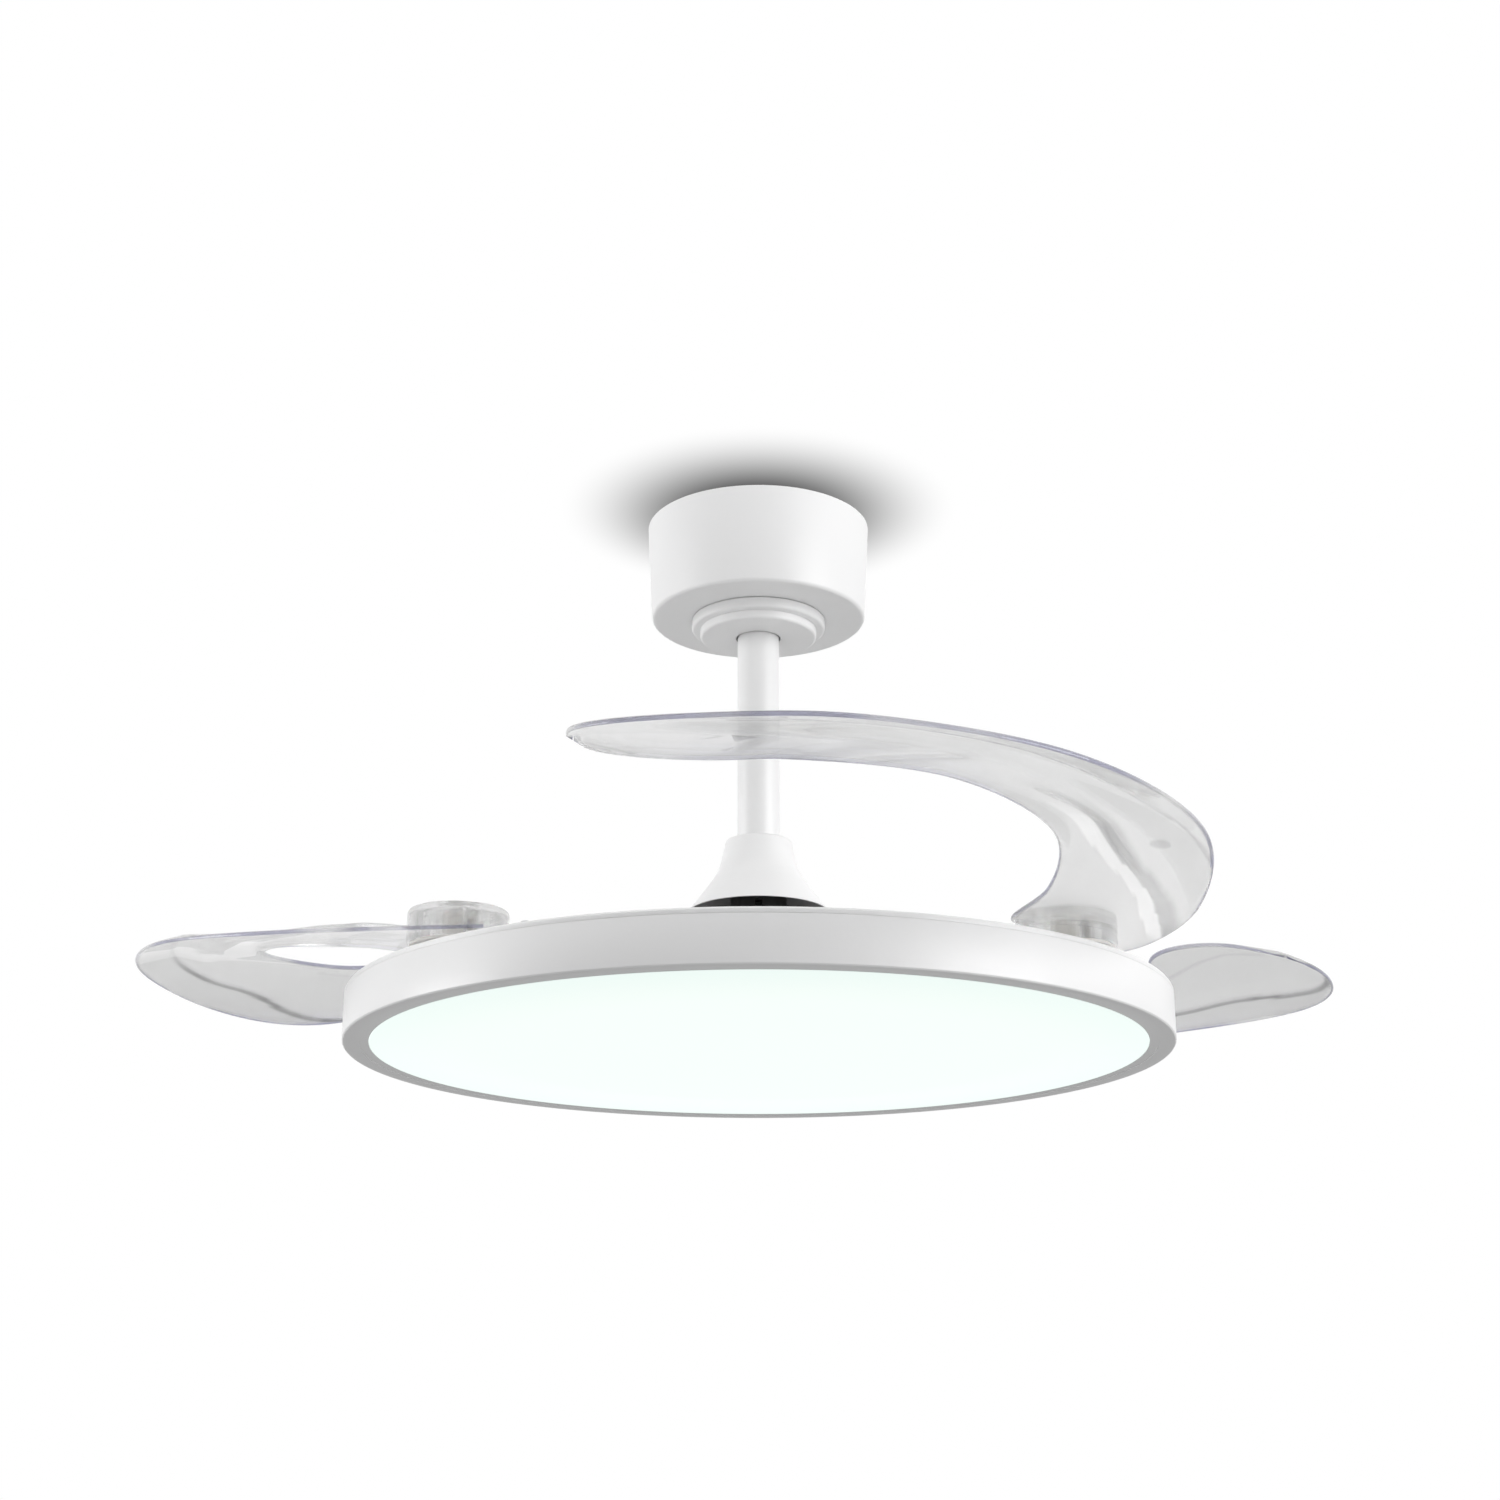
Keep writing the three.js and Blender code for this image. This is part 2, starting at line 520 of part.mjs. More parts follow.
function motorUpperShell() {
  const { r, wall, splitZ, edgeZ, topZ, neckR, round, capR, cap, seatWall } = motor;
  const corner = r - round;
  const capZ = bearing.upperZ + bearing.h + GAP;
  const cupR = bearingSeatR + seatWall;
  const outside = [[r, splitZ], [r, edgeZ], ...arcPoints(corner, edgeZ, round, 30, 80, 2), [neckR + 2, topZ]];
  const neck = [[neckR, capZ + cap], [capR, capZ + cap], [capR, capZ], [bearingSeatR, capZ]];
  const inside = [[bearingSeatR, bearing.upperZ], [cupR, bearing.upperZ], [cupR, topZ - wall],
    [corner, edgeZ + round - wall], [shellInnerR, edgeZ - 0.4], [shellInnerR, splitZ]];
  return lathe([...outside, ...neck, ...inside], facets.motor);
}

// ---------------------------------------------------------------- turntable

const pivotAngles = Array.from({ length: BLADES }, (_, i) => pivotAngle - (360 * i) / BLADES);
const guideAngles = pivotAngles.map((angle) => angle + guide.ahead);

// the ring's lug meets a rubber bumper just past each end of the blades' travel
const lugAngle = pivotAngle + 180 / BLADES;
const bumperAtR = syncInnerR - syncRing.lugL + bumper.r + 1;
const clearanceAngle = THREE.MathUtils.radToDeg((syncRing.lugW / 2 + bumper.r + GAP) / bumperAtR);
const bumperAngles = {
  folded: lugAngle + openAngle * ringRatio + clearanceAngle,
  open: lugAngle - furtherOpening * ringRatio - clearanceAngle,
};

function turntablePlate() {
  const { z, discR, padR, holeR } = turntable;
  const shape = new THREE.Shape();
  const lobeHalf = 15;
  const inOrder = [...pivotAngles].reverse();
  inOrder.forEach((angle) => {
    const [x, y] = polar(pivotR, angle);
    shape.absarc(0, 0, discR, rad(angle - 360 / BLADES + lobeHalf), rad(angle - lobeHalf));
    shape.absarc(x, y, padR, rad(angle - 75), rad(angle + 75));
  });
  shape.holes.push(new THREE.Path().absarc(0, 0, holeR, 0, TURN, true));
  const hole = (r, at, angle) => disc(r, z - 1, turntableTop + 1, facets.screw, ...polar(at, angle));
  const holes = [
    ...pivotAngles.map((angle) => hole(bolt.r + GAP + 0.3, pivotR, angle)),
    ...ringOf(rotorScrew.count, (angle) => hole(rotorScrew.shankR + GAP, rotorScrewR, angle)),
    ...guideAngles.map((angle) => hole(guide.studR + GAP, guideR, angle)),
    ...Object.values(bumperAngles).map((angle) => hole(guide.studR + GAP, bumperAtR, angle)),
  ];
  return cut(plate(shape, z, turntableTop, 9), ...holes);
}

function rotorScrewBody(angle) {
  const z = rotorFloor + motor.floor + GAP;
  return screw(rotorScrew.headR, rotorScrew.headH, rotorScrew.shankR, z, z - turntable.z,
    ...polar(rotorScrewR, angle));
}

function pivotBolt() {
  const { r, flangeR, flangeH, top, headR, headH, socketR } = bolt;
  const head = top + GAP;
  const body = lathe([[0, turntable.z], [r, turntable.z], [r, rotorFloor], [flangeR, rotorFloor],
    [flangeR, rotorFloor + flangeH], [r, rotorFloor + flangeH], [r, head], [headR, head],
    [headR, head + headH], [0, head + headH]], 12);
  const socket = new THREE.CylinderGeometry(socketR, socketR, headH * 2, 6).rotateX(Math.PI / 2);
  return cut(body, socket.translate(0, 0, head + headH));
}

function ringGuide(angle) {
  const top = syncRing.top + GAP;
  const { r, flangeR, flangeH, studR } = guide;
  const body = lathe([[0, turntable.z], [studR, turntable.z], [studR, rotorFloor], [r, rotorFloor], [r, top],
    [flangeR, top], [flangeR, top + flangeH], [0, top + flangeH]], 10);
  return body.translate(...polar(guideR, angle), 0);
}

function stopBumper(angle) {
  const top = rotorFloor + bumper.h;
  const { r, edge } = bumper;
  const stud = [[0, turntable.z], [guide.studR, turntable.z], [guide.studR, rotorFloor]];
  const body = lathe([...stud, [r, rotorFloor], [r, top - edge], [r - edge, top], [0, top]], 12);
  return body.translate(...polar(bumperAtR, angle), 0);
}

function returnSpring() {
  const { wireR, coilR, pitch, turns, sides, steps } = spring;
  const startZ = rotorFloor + GAP + wireR;
  const path = Array.from({ length: turns * steps + 1 }, (_, i) => {
    const angle = (TURN * i) / steps;
    return new THREE.Vector3(coilR * Math.cos(angle), coilR * Math.sin(angle), startZ + (pitch * i) / steps);
  });
  return wireTube(path, wireR, sides);
}

// one unbroken tube of equal rings, closed with a fan at each end
function wireTube(path, r, sides) {
  const corners = [];
  const faces = [];
  const up = new THREE.Vector3(0, 0, 1);
  path.forEach((point, i) => {
    const along = path[Math.min(i + 1, path.length - 1)].clone().sub(path[Math.max(i - 1, 0)]).normalize();
    const side = new THREE.Vector3().crossVectors(up, along).normalize();
    const rise = new THREE.Vector3().crossVectors(along, side);
    for (let k = 0; k < sides; k += 1) {
      const angle = (TURN * k) / sides;
      const corner = point.clone().addScaledVector(side, r * Math.cos(angle));
      corner.addScaledVector(rise, r * Math.sin(angle));
      corners.push(...corner.toArray());
    }
  });
  for (let i = 0; i < path.length - 1; i += 1) {
    for (let k = 0; k < sides; k += 1) {
      const a = i * sides + k;
      const b = i * sides + ((k + 1) % sides);
      faces.push(a, b, a + sides, b, b + sides, a + sides);
    }
  }
  const last = (path.length - 1) * sides;
  for (let k = 1; k < sides - 1; k += 1) faces.push(0, k + 1, k, last, last + k, last + k + 1);
  const geometry = new THREE.BufferGeometry();
  geometry.setAttribute('position', new THREE.Float32BufferAttribute(corners, 3));
  geometry.setIndex(faces);
  return closedGeometry(geometry);
}

// ---------------------------------------------------------------- gears

const involute = (angle) => Math.tan(angle) - angle;

// half the tooth's angle at a radius, for an external involute gear
function toothHalfAngle(pitchR, radius) {
  const pressure = rad(gear.pressure);
  const baseR = pitchR * Math.cos(pressure);
  const atPitch = ((Math.PI * gear.module) / 2 - gear.backlash / 2) / 2 / pitchR;
  const here = Math.acos(Math.min(1, baseR / radius));
  return THREE.MathUtils.radToDeg(atPitch + involute(pressure) - involute(here));
}

// points of one tooth centred on an angle, in increasing angle
function toothPoints(pitchR, centre, flankSteps) {
  const baseR = pitchR * Math.cos(rad(gear.pressure));
  const rootR = pitchR - dedendum;
  const startR = Math.max(baseR + 0.01, rootR);
  const rise = (pitchR + addendum - startR) / flankSteps;
  const radii = Array.from({ length: flankSteps + 1 }, (_, i) => startR + rise * i);
  const flank = radii.map((radius) => [radius, toothHalfAngle(pitchR, radius)]);
  if (startR > rootR) flank.unshift([rootR, toothHalfAngle(pitchR, startR)]);
  const rising = flank.map(([radius, half]) => polar(radius, centre - half));
  const falling = [...flank].reverse().map(([radius, half]) => polar(radius, centre + half));
  return [...rising, ...falling];
}

// a folded blade's gear, drawn round its own pivot; the tooth at 180 degrees meets the ring
function bladeGear() {
  const pitch = 360 / gear.teeth;
  const reach = Math.ceil(openAngle / pitch) + 1;
  const outline = [];
  for (let i = -reach; i <= reach; i += 1) outline.push(...toothPoints(gearPitchR, 180 + i * pitch, 2));
  const plainHalf = 180 - (reach + 0.5) * pitch;
  for (let i = -4; i <= 4; i += 1) outline.push(polar(gearPitchR - dedendum, (plainHalf * i) / 4));
  const teeth = plate(polygon(outline), gear.z, gear.top);
  const { r, flangeR, flange, top, cavityR, roof } = gearHub;
  const boreR = bushOuterR + GAP;
  const drum = [[boreR, gear.z + 1], [r, gear.z + 1], [r, top - flange], [flangeR, top - flange]];
  const sleeve = [[flangeR, top], [sleeveR, top], [sleeveR, bolt.top], [boreR, bolt.top]];
  const hub = lathe([...drum, ...sleeve], facets.shaft);
  const pinAt = (angle) => polar(gearPin.atR, angle + gearPin.turn + openAngle);
  const pins = ringOf(gearPin.count, (angle) => disc(gearPin.r, top - flange / 2, top + gearPin.reach,
    facets.screw, ...pinAt(angle)));
  const cavity = disc(cavityR, gear.z - 1, top - roof);
  return cut(join(teeth, hub, ...pins), cavity, disc(boreR, gear.z - 1, top + 1));
}

function hubBush() {
  const bottom = gearHub.top - gearHub.roof + GAP;
  const { top } = bolt;
  return lathe([[bushInnerR, bottom], [bushOuterR, bottom], [bushOuterR, top], [bushInnerR, top]], 16);
}

function syncRingBody() {
  const pitch = 360 / gear.ringTeeth;
  const meshSpan = (gearPitchR / ringPitchR) * 40;
  const before = Math.ceil((furtherOpening * ringRatio + meshSpan) / pitch);
  const after = Math.ceil((openAngle * ringRatio + meshSpan) / pitch);
  const plainR = syncInnerR + syncRing.band;
  const bandInset = 1.5; // degrees from the last tooth to the plain band
  const outline = [];
  [...pivotAngles].reverse().forEach((angle) => {
    const first = angle - (after - 0.5) * pitch;
    const last = angle + (before - 0.5) * pitch;
    for (let i = 0; i < after + before; i += 1) {
      outline.push(...toothPoints(ringPitchR, first + i * pitch, 1));
    }
    const next = angle + 360 / BLADES - (after - 0.5) * pitch;
    const steps = 9;
    const bandAt = (part) => last + bandInset + (next - last - 2 * bandInset) * part;
    for (let i = 1; i < steps; i += 1) outline.push(polar(plainR, bandAt(i / steps)));
  });
  const shape = polygon(outline);
  shape.holes.push(new THREE.Path().absarc(0, 0, syncInnerR, 0, TURN, true));
  const ring = plate(shape, syncRing.z, syncRing.top, 36);
  const lug = box(syncInnerR - syncRing.lugL, syncInnerR + 2, -syncRing.lugW / 2,
    syncRing.lugW / 2, syncRing.z, syncRing.top).rotateZ(rad(lugAngle));
  return join(ring, lug);
}

// ---------------------------------------------------------------- blade

const stationCurve = (pick) => new THREE.CatmullRomCurve3(bladeStations.map(pick), false, 'centripetal');
const stationPoint = (radius, angle, z) => new THREE.Vector3(...polar(radius, -angle), z);
const outerEdge = stationCurve((s) => stationPoint(sheet.outerR - s.inset, s.angle, s.outer));
const innerEdge = stationCurve((s) => stationPoint(sheet.outerR - s.inset - s.width, s.angle, s.inner));

// rows of [outer edge point, inner edge point] from the root to the rounded tip
function sheetRows() {
  const rows = Array.from({ length: sheet.rows + 1 }, (_, i) => {
    const t = i / sheet.rows;
    return [outerEdge.getPoint(t), innerEdge.getPoint(t)];
  });
  const [outer, inner] = rows[rows.length - 1];
  const middle = outer.clone().lerp(inner, 0.5);
  const half = outer.clone().sub(middle);
  const along = new THREE.Vector3(half.y, -half.x, 0).normalize();
  for (let k = 1; k <= sheet.tipRows; k += 1) {
    const angle = (Math.PI / 2) * (k / (sheet.tipRows + 0.4));
    const ahead = middle.clone().addScaledVector(along, sheet.tip * Math.sin(angle));
    ahead.z += sheet.tipRise * Math.sin(angle);
    const reach = half.clone().multiplyScalar(Math.cos(angle));
    rows.push([ahead.clone().add(reach), ahead.clone().sub(reach)]);
  }
  return rows;
}

// a thin curved sheet, closed along its edges
function sheetGeometry() {
  const rows = sheetRows();
  const n = sheet.across;
  const corners = [];
  for (const side of [1, -1]) {
    rows.forEach(([outer, inner]) => {
      for (let k = 0; k <= n; k += 1) {
        const t = k / n;
        const point = outer.clone().lerp(inner, t);
        const crown = sheet.crown * 4 * t * (1 - t);
        corners.push(point.x, point.y, point.z + crown + (side * sheet.thick) / 2);
      }
    });
  }
  const width = n + 1;
  const count = rows.length * width;
  const faces = [];
  const quad = (a, b, c, d) => faces.push(a, b, c, a, c, d);
  for (let i = 0; i < rows.length - 1; i += 1) {
    for (let k = 0; k < n; k += 1) {
      const a = i * width + k;
      quad(a, a + 1, a + width + 1, a + width);
      quad(count + a, count + a + width, count + a + width + 1, count + a + 1);
    }
    const e = i * width;
    quad(e, e + width, count + e + width, count + e);
    quad(e + n, count + e + n, count + e + n + width, e + n + width);
  }
  const end = (rows.length - 1) * width;
  for (let k = 0; k < n; k += 1) {
    quad(k, count + k, count + k + 1, k + 1);
    quad(end + k, end + k + 1, count + end + k + 1, count + end + k);
  }
  const geometry = new THREE.BufferGeometry();
  geometry.setAttribute('position', new THREE.Float32BufferAttribute(corners, 3));
  geometry.setIndex(faces);
  return closedGeometry(geometry);
}

// drawn folded, with its pivot on the +X axis
function bladeBody() {
  const { r, wall, bottom, top, fillet, columnR } = foot;
  const round = arcPoints(r - fillet, top - fillet, fillet, 0, 90, 2);
  const skirt = lathe([[0, bottom], [r, bottom], ...round, [0, top]], facets.boss).translate(pivotR, 0, 0);
  const hollow = disc(r - wall, bottom - 20, footCavityTop, facets.boss, pivotR, 0);
  const columns = ringOf(gearPin.count, (angle) => {
    const [x, y] = polar(gearPin.atR, angle + gearPin.turn);
    return cut(disc(columnR, bottom, footCavityTop + 1, facets.screw, pivotR + x, y),
      disc(gearPin.r + GAP, bottom - 1, gearHub.top + gearPin.reach + GAP, facets.screw, pivotR + x, y));
  });
  const sleeveHole = disc(sleeveR + GAP, bottom, top + 1, facets.shaft, pivotR, 0);
  const shell = cut(join(sheetGeometry(), skirt), hollow, sleeveHole);
  return join(shell, ...columns);
}

// ---------------------------------------------------------------- the assembly

const finishes = {
  white: { color: 0xf4f3f5, roughness: 0.42, metalness: 0 },
  nylon: { color: 0xe9e7e2, roughness: 0.55, metalness: 0 },
  grey: { color: 0x9a9a9c, roughness: 0.6, metalness: 0 },
  dark: { color: 0x3a3a3c, roughness: 0.6, metalness: 0.2 },
  rubber: { color: 0x232325, roughness: 0.9, metalness: 0 },
  steel: { color: 0xb9bcc0, roughness: 0.35, metalness: 0.9 },
  zinc: { color: 0xcfd0cf, roughness: 0.4, metalness: 0.8 },
  copper: { color: 0xb56a33, roughness: 0.4, metalness: 0.8 },
  bronze: { color: 0xa8854a, roughness: 0.45, metalness: 0.8 },
  opal: { color: 0xf6fffc, roughness: 0.5, metalness: 0 },
  board: { color: 0xf0f2ee, roughness: 0.6, metalness: 0 },
  clear: { color: 0xdfe2e6, roughness: 0.08, metalness: 0 },
};

function piece(name, geometry, finish) {
  const mesh = new THREE.Mesh(geometry, new THREE.MeshStandardMaterial(finishes[finish]));
  mesh.name = name;
  return mesh;
}

function place(parent, ...meshes) {
  parent.add(...meshes);
  return parent;
}

const fan = new THREE.Group();

place(fan,
  piece('ceiling_bracket', ceilingBracket(), 'zinc'),
  piece('canopy', canopyShell(), 'white'),
  piece('canopy_screw_1', canopyScrewBody(1), 'steel'),
  piece('canopy_screw_2', canopyScrewBody(-1), 'steel'),
  piece('canopy_collar', canopyCollar(), 'white'),
  piece('receiver_box', receiverBox(), 'grey'),
  piece('terminal_block', terminalBlock(), 'nylon'),
  piece('hanger_ball', hangerBall(), 'dark'),
  piece('hanger_pin', hangerPin(), 'steel'),
  piece('hanger_screw', hangerScrew(), 'steel'),
  piece('downrod', downrod(), 'white'));

const lampLevel = new THREE.Group();
lampLevel.position.z = -DROP;
fan.add(lampLevel);

place(lampLevel,
  piece('bell_cover', bellCover(), 'white'),
  piece('bell_screw', bellScrew(), 'steel'),
  piece('yoke', yokeBody(), 'dark'),
  piece('yoke_set_screw', yokeSetScrew(), 'steel'),
  piece('yoke_pin', yokePin(), 'zinc'),
  piece('pin_clip', pinClip(), 'zinc'),
  piece('motor_shaft', motorShaft(), 'steel'),
  piece('shaft_nut', shaftNutBody(), 'zinc'),
  piece('stator_core', statorCore(), 'dark'),
  piece('stator_windings', statorWindings(), 'copper'),
  piece('lamp_pan', lampPan(), 'white'),
  piece('lamp_ring', lampRing(), 'white'),
  ...ringOf(lampScrew.count, (angle, i) => piece(`lamp_screw_${i + 1}`, lampScrewBody(angle), 'zinc')),
  piece('diffuser', diffuserDisc(), 'opal'),
  piece('diffuser_retainer', diffuserRetainer(), 'nylon'),
  piece('led_board', ledBoardRing(), 'board'),
  piece('led_driver', ledDriver(), 'grey'),
  piece('motor_lower_shell', motorLowerShell(), 'zinc'),
  piece('motor_upper_shell', motorUpperShell(), 'white'),
  piece('magnet_ring', magnetRing(), 'dark'),
  piece('bearing_lower', bearingRing(bearing.lowerZ), 'steel'),
  piece('bearing_upper', bearingRing(bearing.upperZ), 'steel'),
  piece('turntable', turntablePlate(), 'zinc'),
  ...ringOf(rotorScrew.count, (angle, i) => piece(`rotor_screw_${i + 1}`, rotorScrewBody(angle), 'zinc')),
  ...guideAngles.map((angle, i) => piece(`ring_guide_${i + 1}`, ringGuide(angle), 'nylon')),
  piece('stop_bumper_folded', stopBumper(bumperAngles.folded), 'rubber'),
  piece('stop_bumper_open', stopBumper(bumperAngles.open), 'rubber'),
  piece('sync_ring', syncRingBody(), 'nylon'));

pivotAngles.forEach((angle, i) => {
  const number = i + 1;
  const atPivot = new THREE.Group();
  const [x, y] = polar(pivotR, angle);
  atPivot.position.set(x, y, 0);
  lampLevel.add(atPivot);
  place(atPivot,
    piece(`pivot_bolt_${number}`, pivotBolt(), 'steel'),
    piece(`return_spring_${number}`, returnSpring(), 'steel'));

  const meshed = new THREE.Group();
  meshed.rotation.z = rad(angle);
  atPivot.add(meshed);
  place(meshed, piece(`blade_gear_${number}`, bladeGear(), 'nylon'));

  const opened = new THREE.Group();
  opened.rotation.z = rad(angle + openAngle);
  atPivot.add(opened);
  place(opened, piece(`hub_bush_${number}`, hubBush(), 'bronze'));
  const sheetGroup = new THREE.Group();
  sheetGroup.position.x = -pivotR;
  opened.add(sheetGroup);
  place(sheetGroup, piece(`blade_${number}`, bladeBody(), 'clear'));
});

export default fan;
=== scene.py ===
"""Dresses a ceiling fan with a flat round lamp, a short downrod and clear blades that fold in over the lamp.

Lengths are millimetres in the tables below and metres in Blender. Heights of everything under the
canopy are measured up from the lamp's underside, which hangs DROP below the ceiling.
"""
import json
from math import cos, hypot, pi, radians, sin
import bpy
from mathutils import Matrix, Vector, kdtree


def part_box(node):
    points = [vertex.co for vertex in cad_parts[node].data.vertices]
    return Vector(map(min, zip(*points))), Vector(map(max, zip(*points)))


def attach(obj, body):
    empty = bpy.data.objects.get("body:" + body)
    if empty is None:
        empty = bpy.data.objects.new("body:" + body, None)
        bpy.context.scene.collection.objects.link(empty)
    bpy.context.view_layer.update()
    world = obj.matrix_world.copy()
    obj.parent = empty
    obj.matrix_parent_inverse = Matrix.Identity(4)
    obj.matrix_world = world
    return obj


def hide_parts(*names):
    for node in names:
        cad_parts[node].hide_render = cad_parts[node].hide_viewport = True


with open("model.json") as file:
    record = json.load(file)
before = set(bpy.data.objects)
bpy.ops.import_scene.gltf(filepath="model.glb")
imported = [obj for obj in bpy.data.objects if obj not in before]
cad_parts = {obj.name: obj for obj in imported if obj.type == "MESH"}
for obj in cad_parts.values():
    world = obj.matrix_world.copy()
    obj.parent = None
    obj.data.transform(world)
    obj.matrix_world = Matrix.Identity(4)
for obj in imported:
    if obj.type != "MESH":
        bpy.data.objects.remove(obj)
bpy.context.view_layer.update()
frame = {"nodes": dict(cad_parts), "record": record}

DROP = 346.5
MM = 0.001

# ---------------------------------------------------------------- camera

EYE = (0, -1.3232, -0.5889)
LOOK_UP = 18.3
LOOK_LEFT = 0.233
SENSOR_WIDTH = 36
FOCAL_LENGTH = 52.577

bpy.ops.object.camera_add(location=EYE, rotation=(radians(90 + LOOK_UP), 0, radians(LOOK_LEFT)))
camera = bpy.context.object
camera.data.sensor_width = SENSOR_WIDTH
camera.data.lens = FOCAL_LENGTH
bpy.context.scene.camera = camera
bpy.context.scene.view_settings.view_transform = "Standard"

# ---------------------------------------------------------------- modelling by hand


def deselect():
    bpy.ops.object.select_all(action="DESELECT")


def only(obj):
    deselect()
    obj.select_set(True)
    bpy.context.view_layer.objects.active = obj
    return obj


def modify(obj, kind, **settings):
    """Adds a modifier, sets it and applies it."""
    only(obj)
    modifier = obj.modifiers.new(kind.title(), kind)
    for key, value in settings.items():
        setattr(modifier, key, value)
    bpy.ops.object.modifier_apply(modifier=modifier.name)
    return obj


def clean(obj, merge=1e-6):
    """Closes seams and poles and turns the faces outwards."""
    only(obj)
    bpy.ops.object.mode_set(mode="EDIT")
    bpy.ops.mesh.select_all(action="SELECT")
    bpy.ops.mesh.remove_doubles(threshold=merge)
    bpy.ops.mesh.dissolve_degenerate(threshold=merge)
    bpy.ops.mesh.delete_loose(use_verts=True, use_edges=True, use_faces=False)
    bpy.ops.mesh.select_all(action="SELECT")
    bpy.ops.mesh.normals_make_consistent(inside=False)
    bpy.ops.object.mode_set(mode="OBJECT")
    return obj


def smooth(obj, angle=32):
    """Shades smooth across every edge that turns by less than the angle."""
    only(obj)
    bpy.ops.object.shade_smooth_by_angle(angle=radians(angle))
    return obj


def turned(name, profile, level=0.0, steps=144, bevel=0.4):
    """A piece turned on a lathe: a closed outline of (radius, height), swept once round Z."""
    deselect()
    bpy.ops.mesh.primitive_circle_add(vertices=len(profile), radius=1, fill_type="NOTHING")
    obj = bpy.context.object
    obj.name = name
    for vertex, (radius, height) in zip(obj.data.vertices, profile):
        vertex.co = (radius * MM, 0, (height + level) * MM)
    bpy.ops.object.mode_set(mode="EDIT")
    bpy.ops.mesh.select_all(action="SELECT")
    bpy.ops.mesh.spin(steps=steps, angle=2 * pi, center=(0, 0, 0), axis=(0, 0, 1))
    bpy.ops.object.mode_set(mode="OBJECT")
    clean(obj)
    if bevel:
        modify(obj, "BEVEL", width=bevel * MM, segments=2, limit_method="ANGLE", angle_limit=radians(35))
    return smooth(obj)


def arc(cx, cz, r, start, end, steps):
    """Points of (radius, height) round a rounded corner."""
    points = []
    for i in range(steps + 1):
        a = radians(start + (end - start) * i / steps)
        points.append((cx + r * cos(a), cz + r * sin(a)))
    return points


def moved(obj, matrix):
    """Sets the move in the mesh, so that the object stays at the origin."""
    obj.data.transform(matrix)
    obj.data.update()
    return obj


def twin(obj, name, matrix):
    """A moved copy of a piece, with a mesh of its own."""
    copy = obj.copy()
    copy.data = obj.data.copy()
    copy.name = name
    bpy.context.scene.collection.objects.link(copy)
    return moved(copy, matrix)


def boolean(obj, tool, operation):
    """Cuts the tool out of a piece or joins it on, and removes the tool."""
    modify(obj, "BOOLEAN", object=tool, operation=operation, solver="EXACT")
    bpy.data.objects.remove(tool)
    return obj


def plug(name, radius, low, high, x, y, vertices=64):
    """An upright cylinder or prism, to cut or join with."""
    deselect()
    bpy.ops.mesh.primitive_cylinder_add(vertices=vertices, radius=radius * MM, depth=(high - low) * MM,
                                        location=(x * MM, y * MM, (low + high) / 2 * MM))
    obj = bpy.context.object
    obj.name = name
    bpy.ops.object.transform_apply(location=True, rotation=True, scale=True)
    return obj


# ---------------------------------------------------------------- finishes


class Value:
    """A socket that takes part in Python arithmetic."""

    def __init__(self, shader, socket):
        self.shader = shader
        self.socket = socket

    def maths(self, operation, first, second):
        return self.shader.node("ShaderNodeMath", {"operation": operation}, {0: first, 1: second}).out()

    def __add__(self, other):
        return self.maths("ADD", self, other)

    def __sub__(self, other):
        return self.maths("SUBTRACT", self, other)

    def __rsub__(self, other):
        return self.maths("SUBTRACT", other, self)

    def __mul__(self, other):
        return self.maths("MULTIPLY", self, other)

    def __pow__(self, other):
        return self.maths("POWER", self, other)

    __radd__ = __add__


class Made:
    """A node that was made, with its outputs by name or number."""

    def __init__(self, shader, node):
        self.shader = shader
        self.node = node

    def out(self, key=0):
        return Value(self.shader, self.node.outputs[key])

    def all(self, keys):
        return [self.out(key) for key in keys]


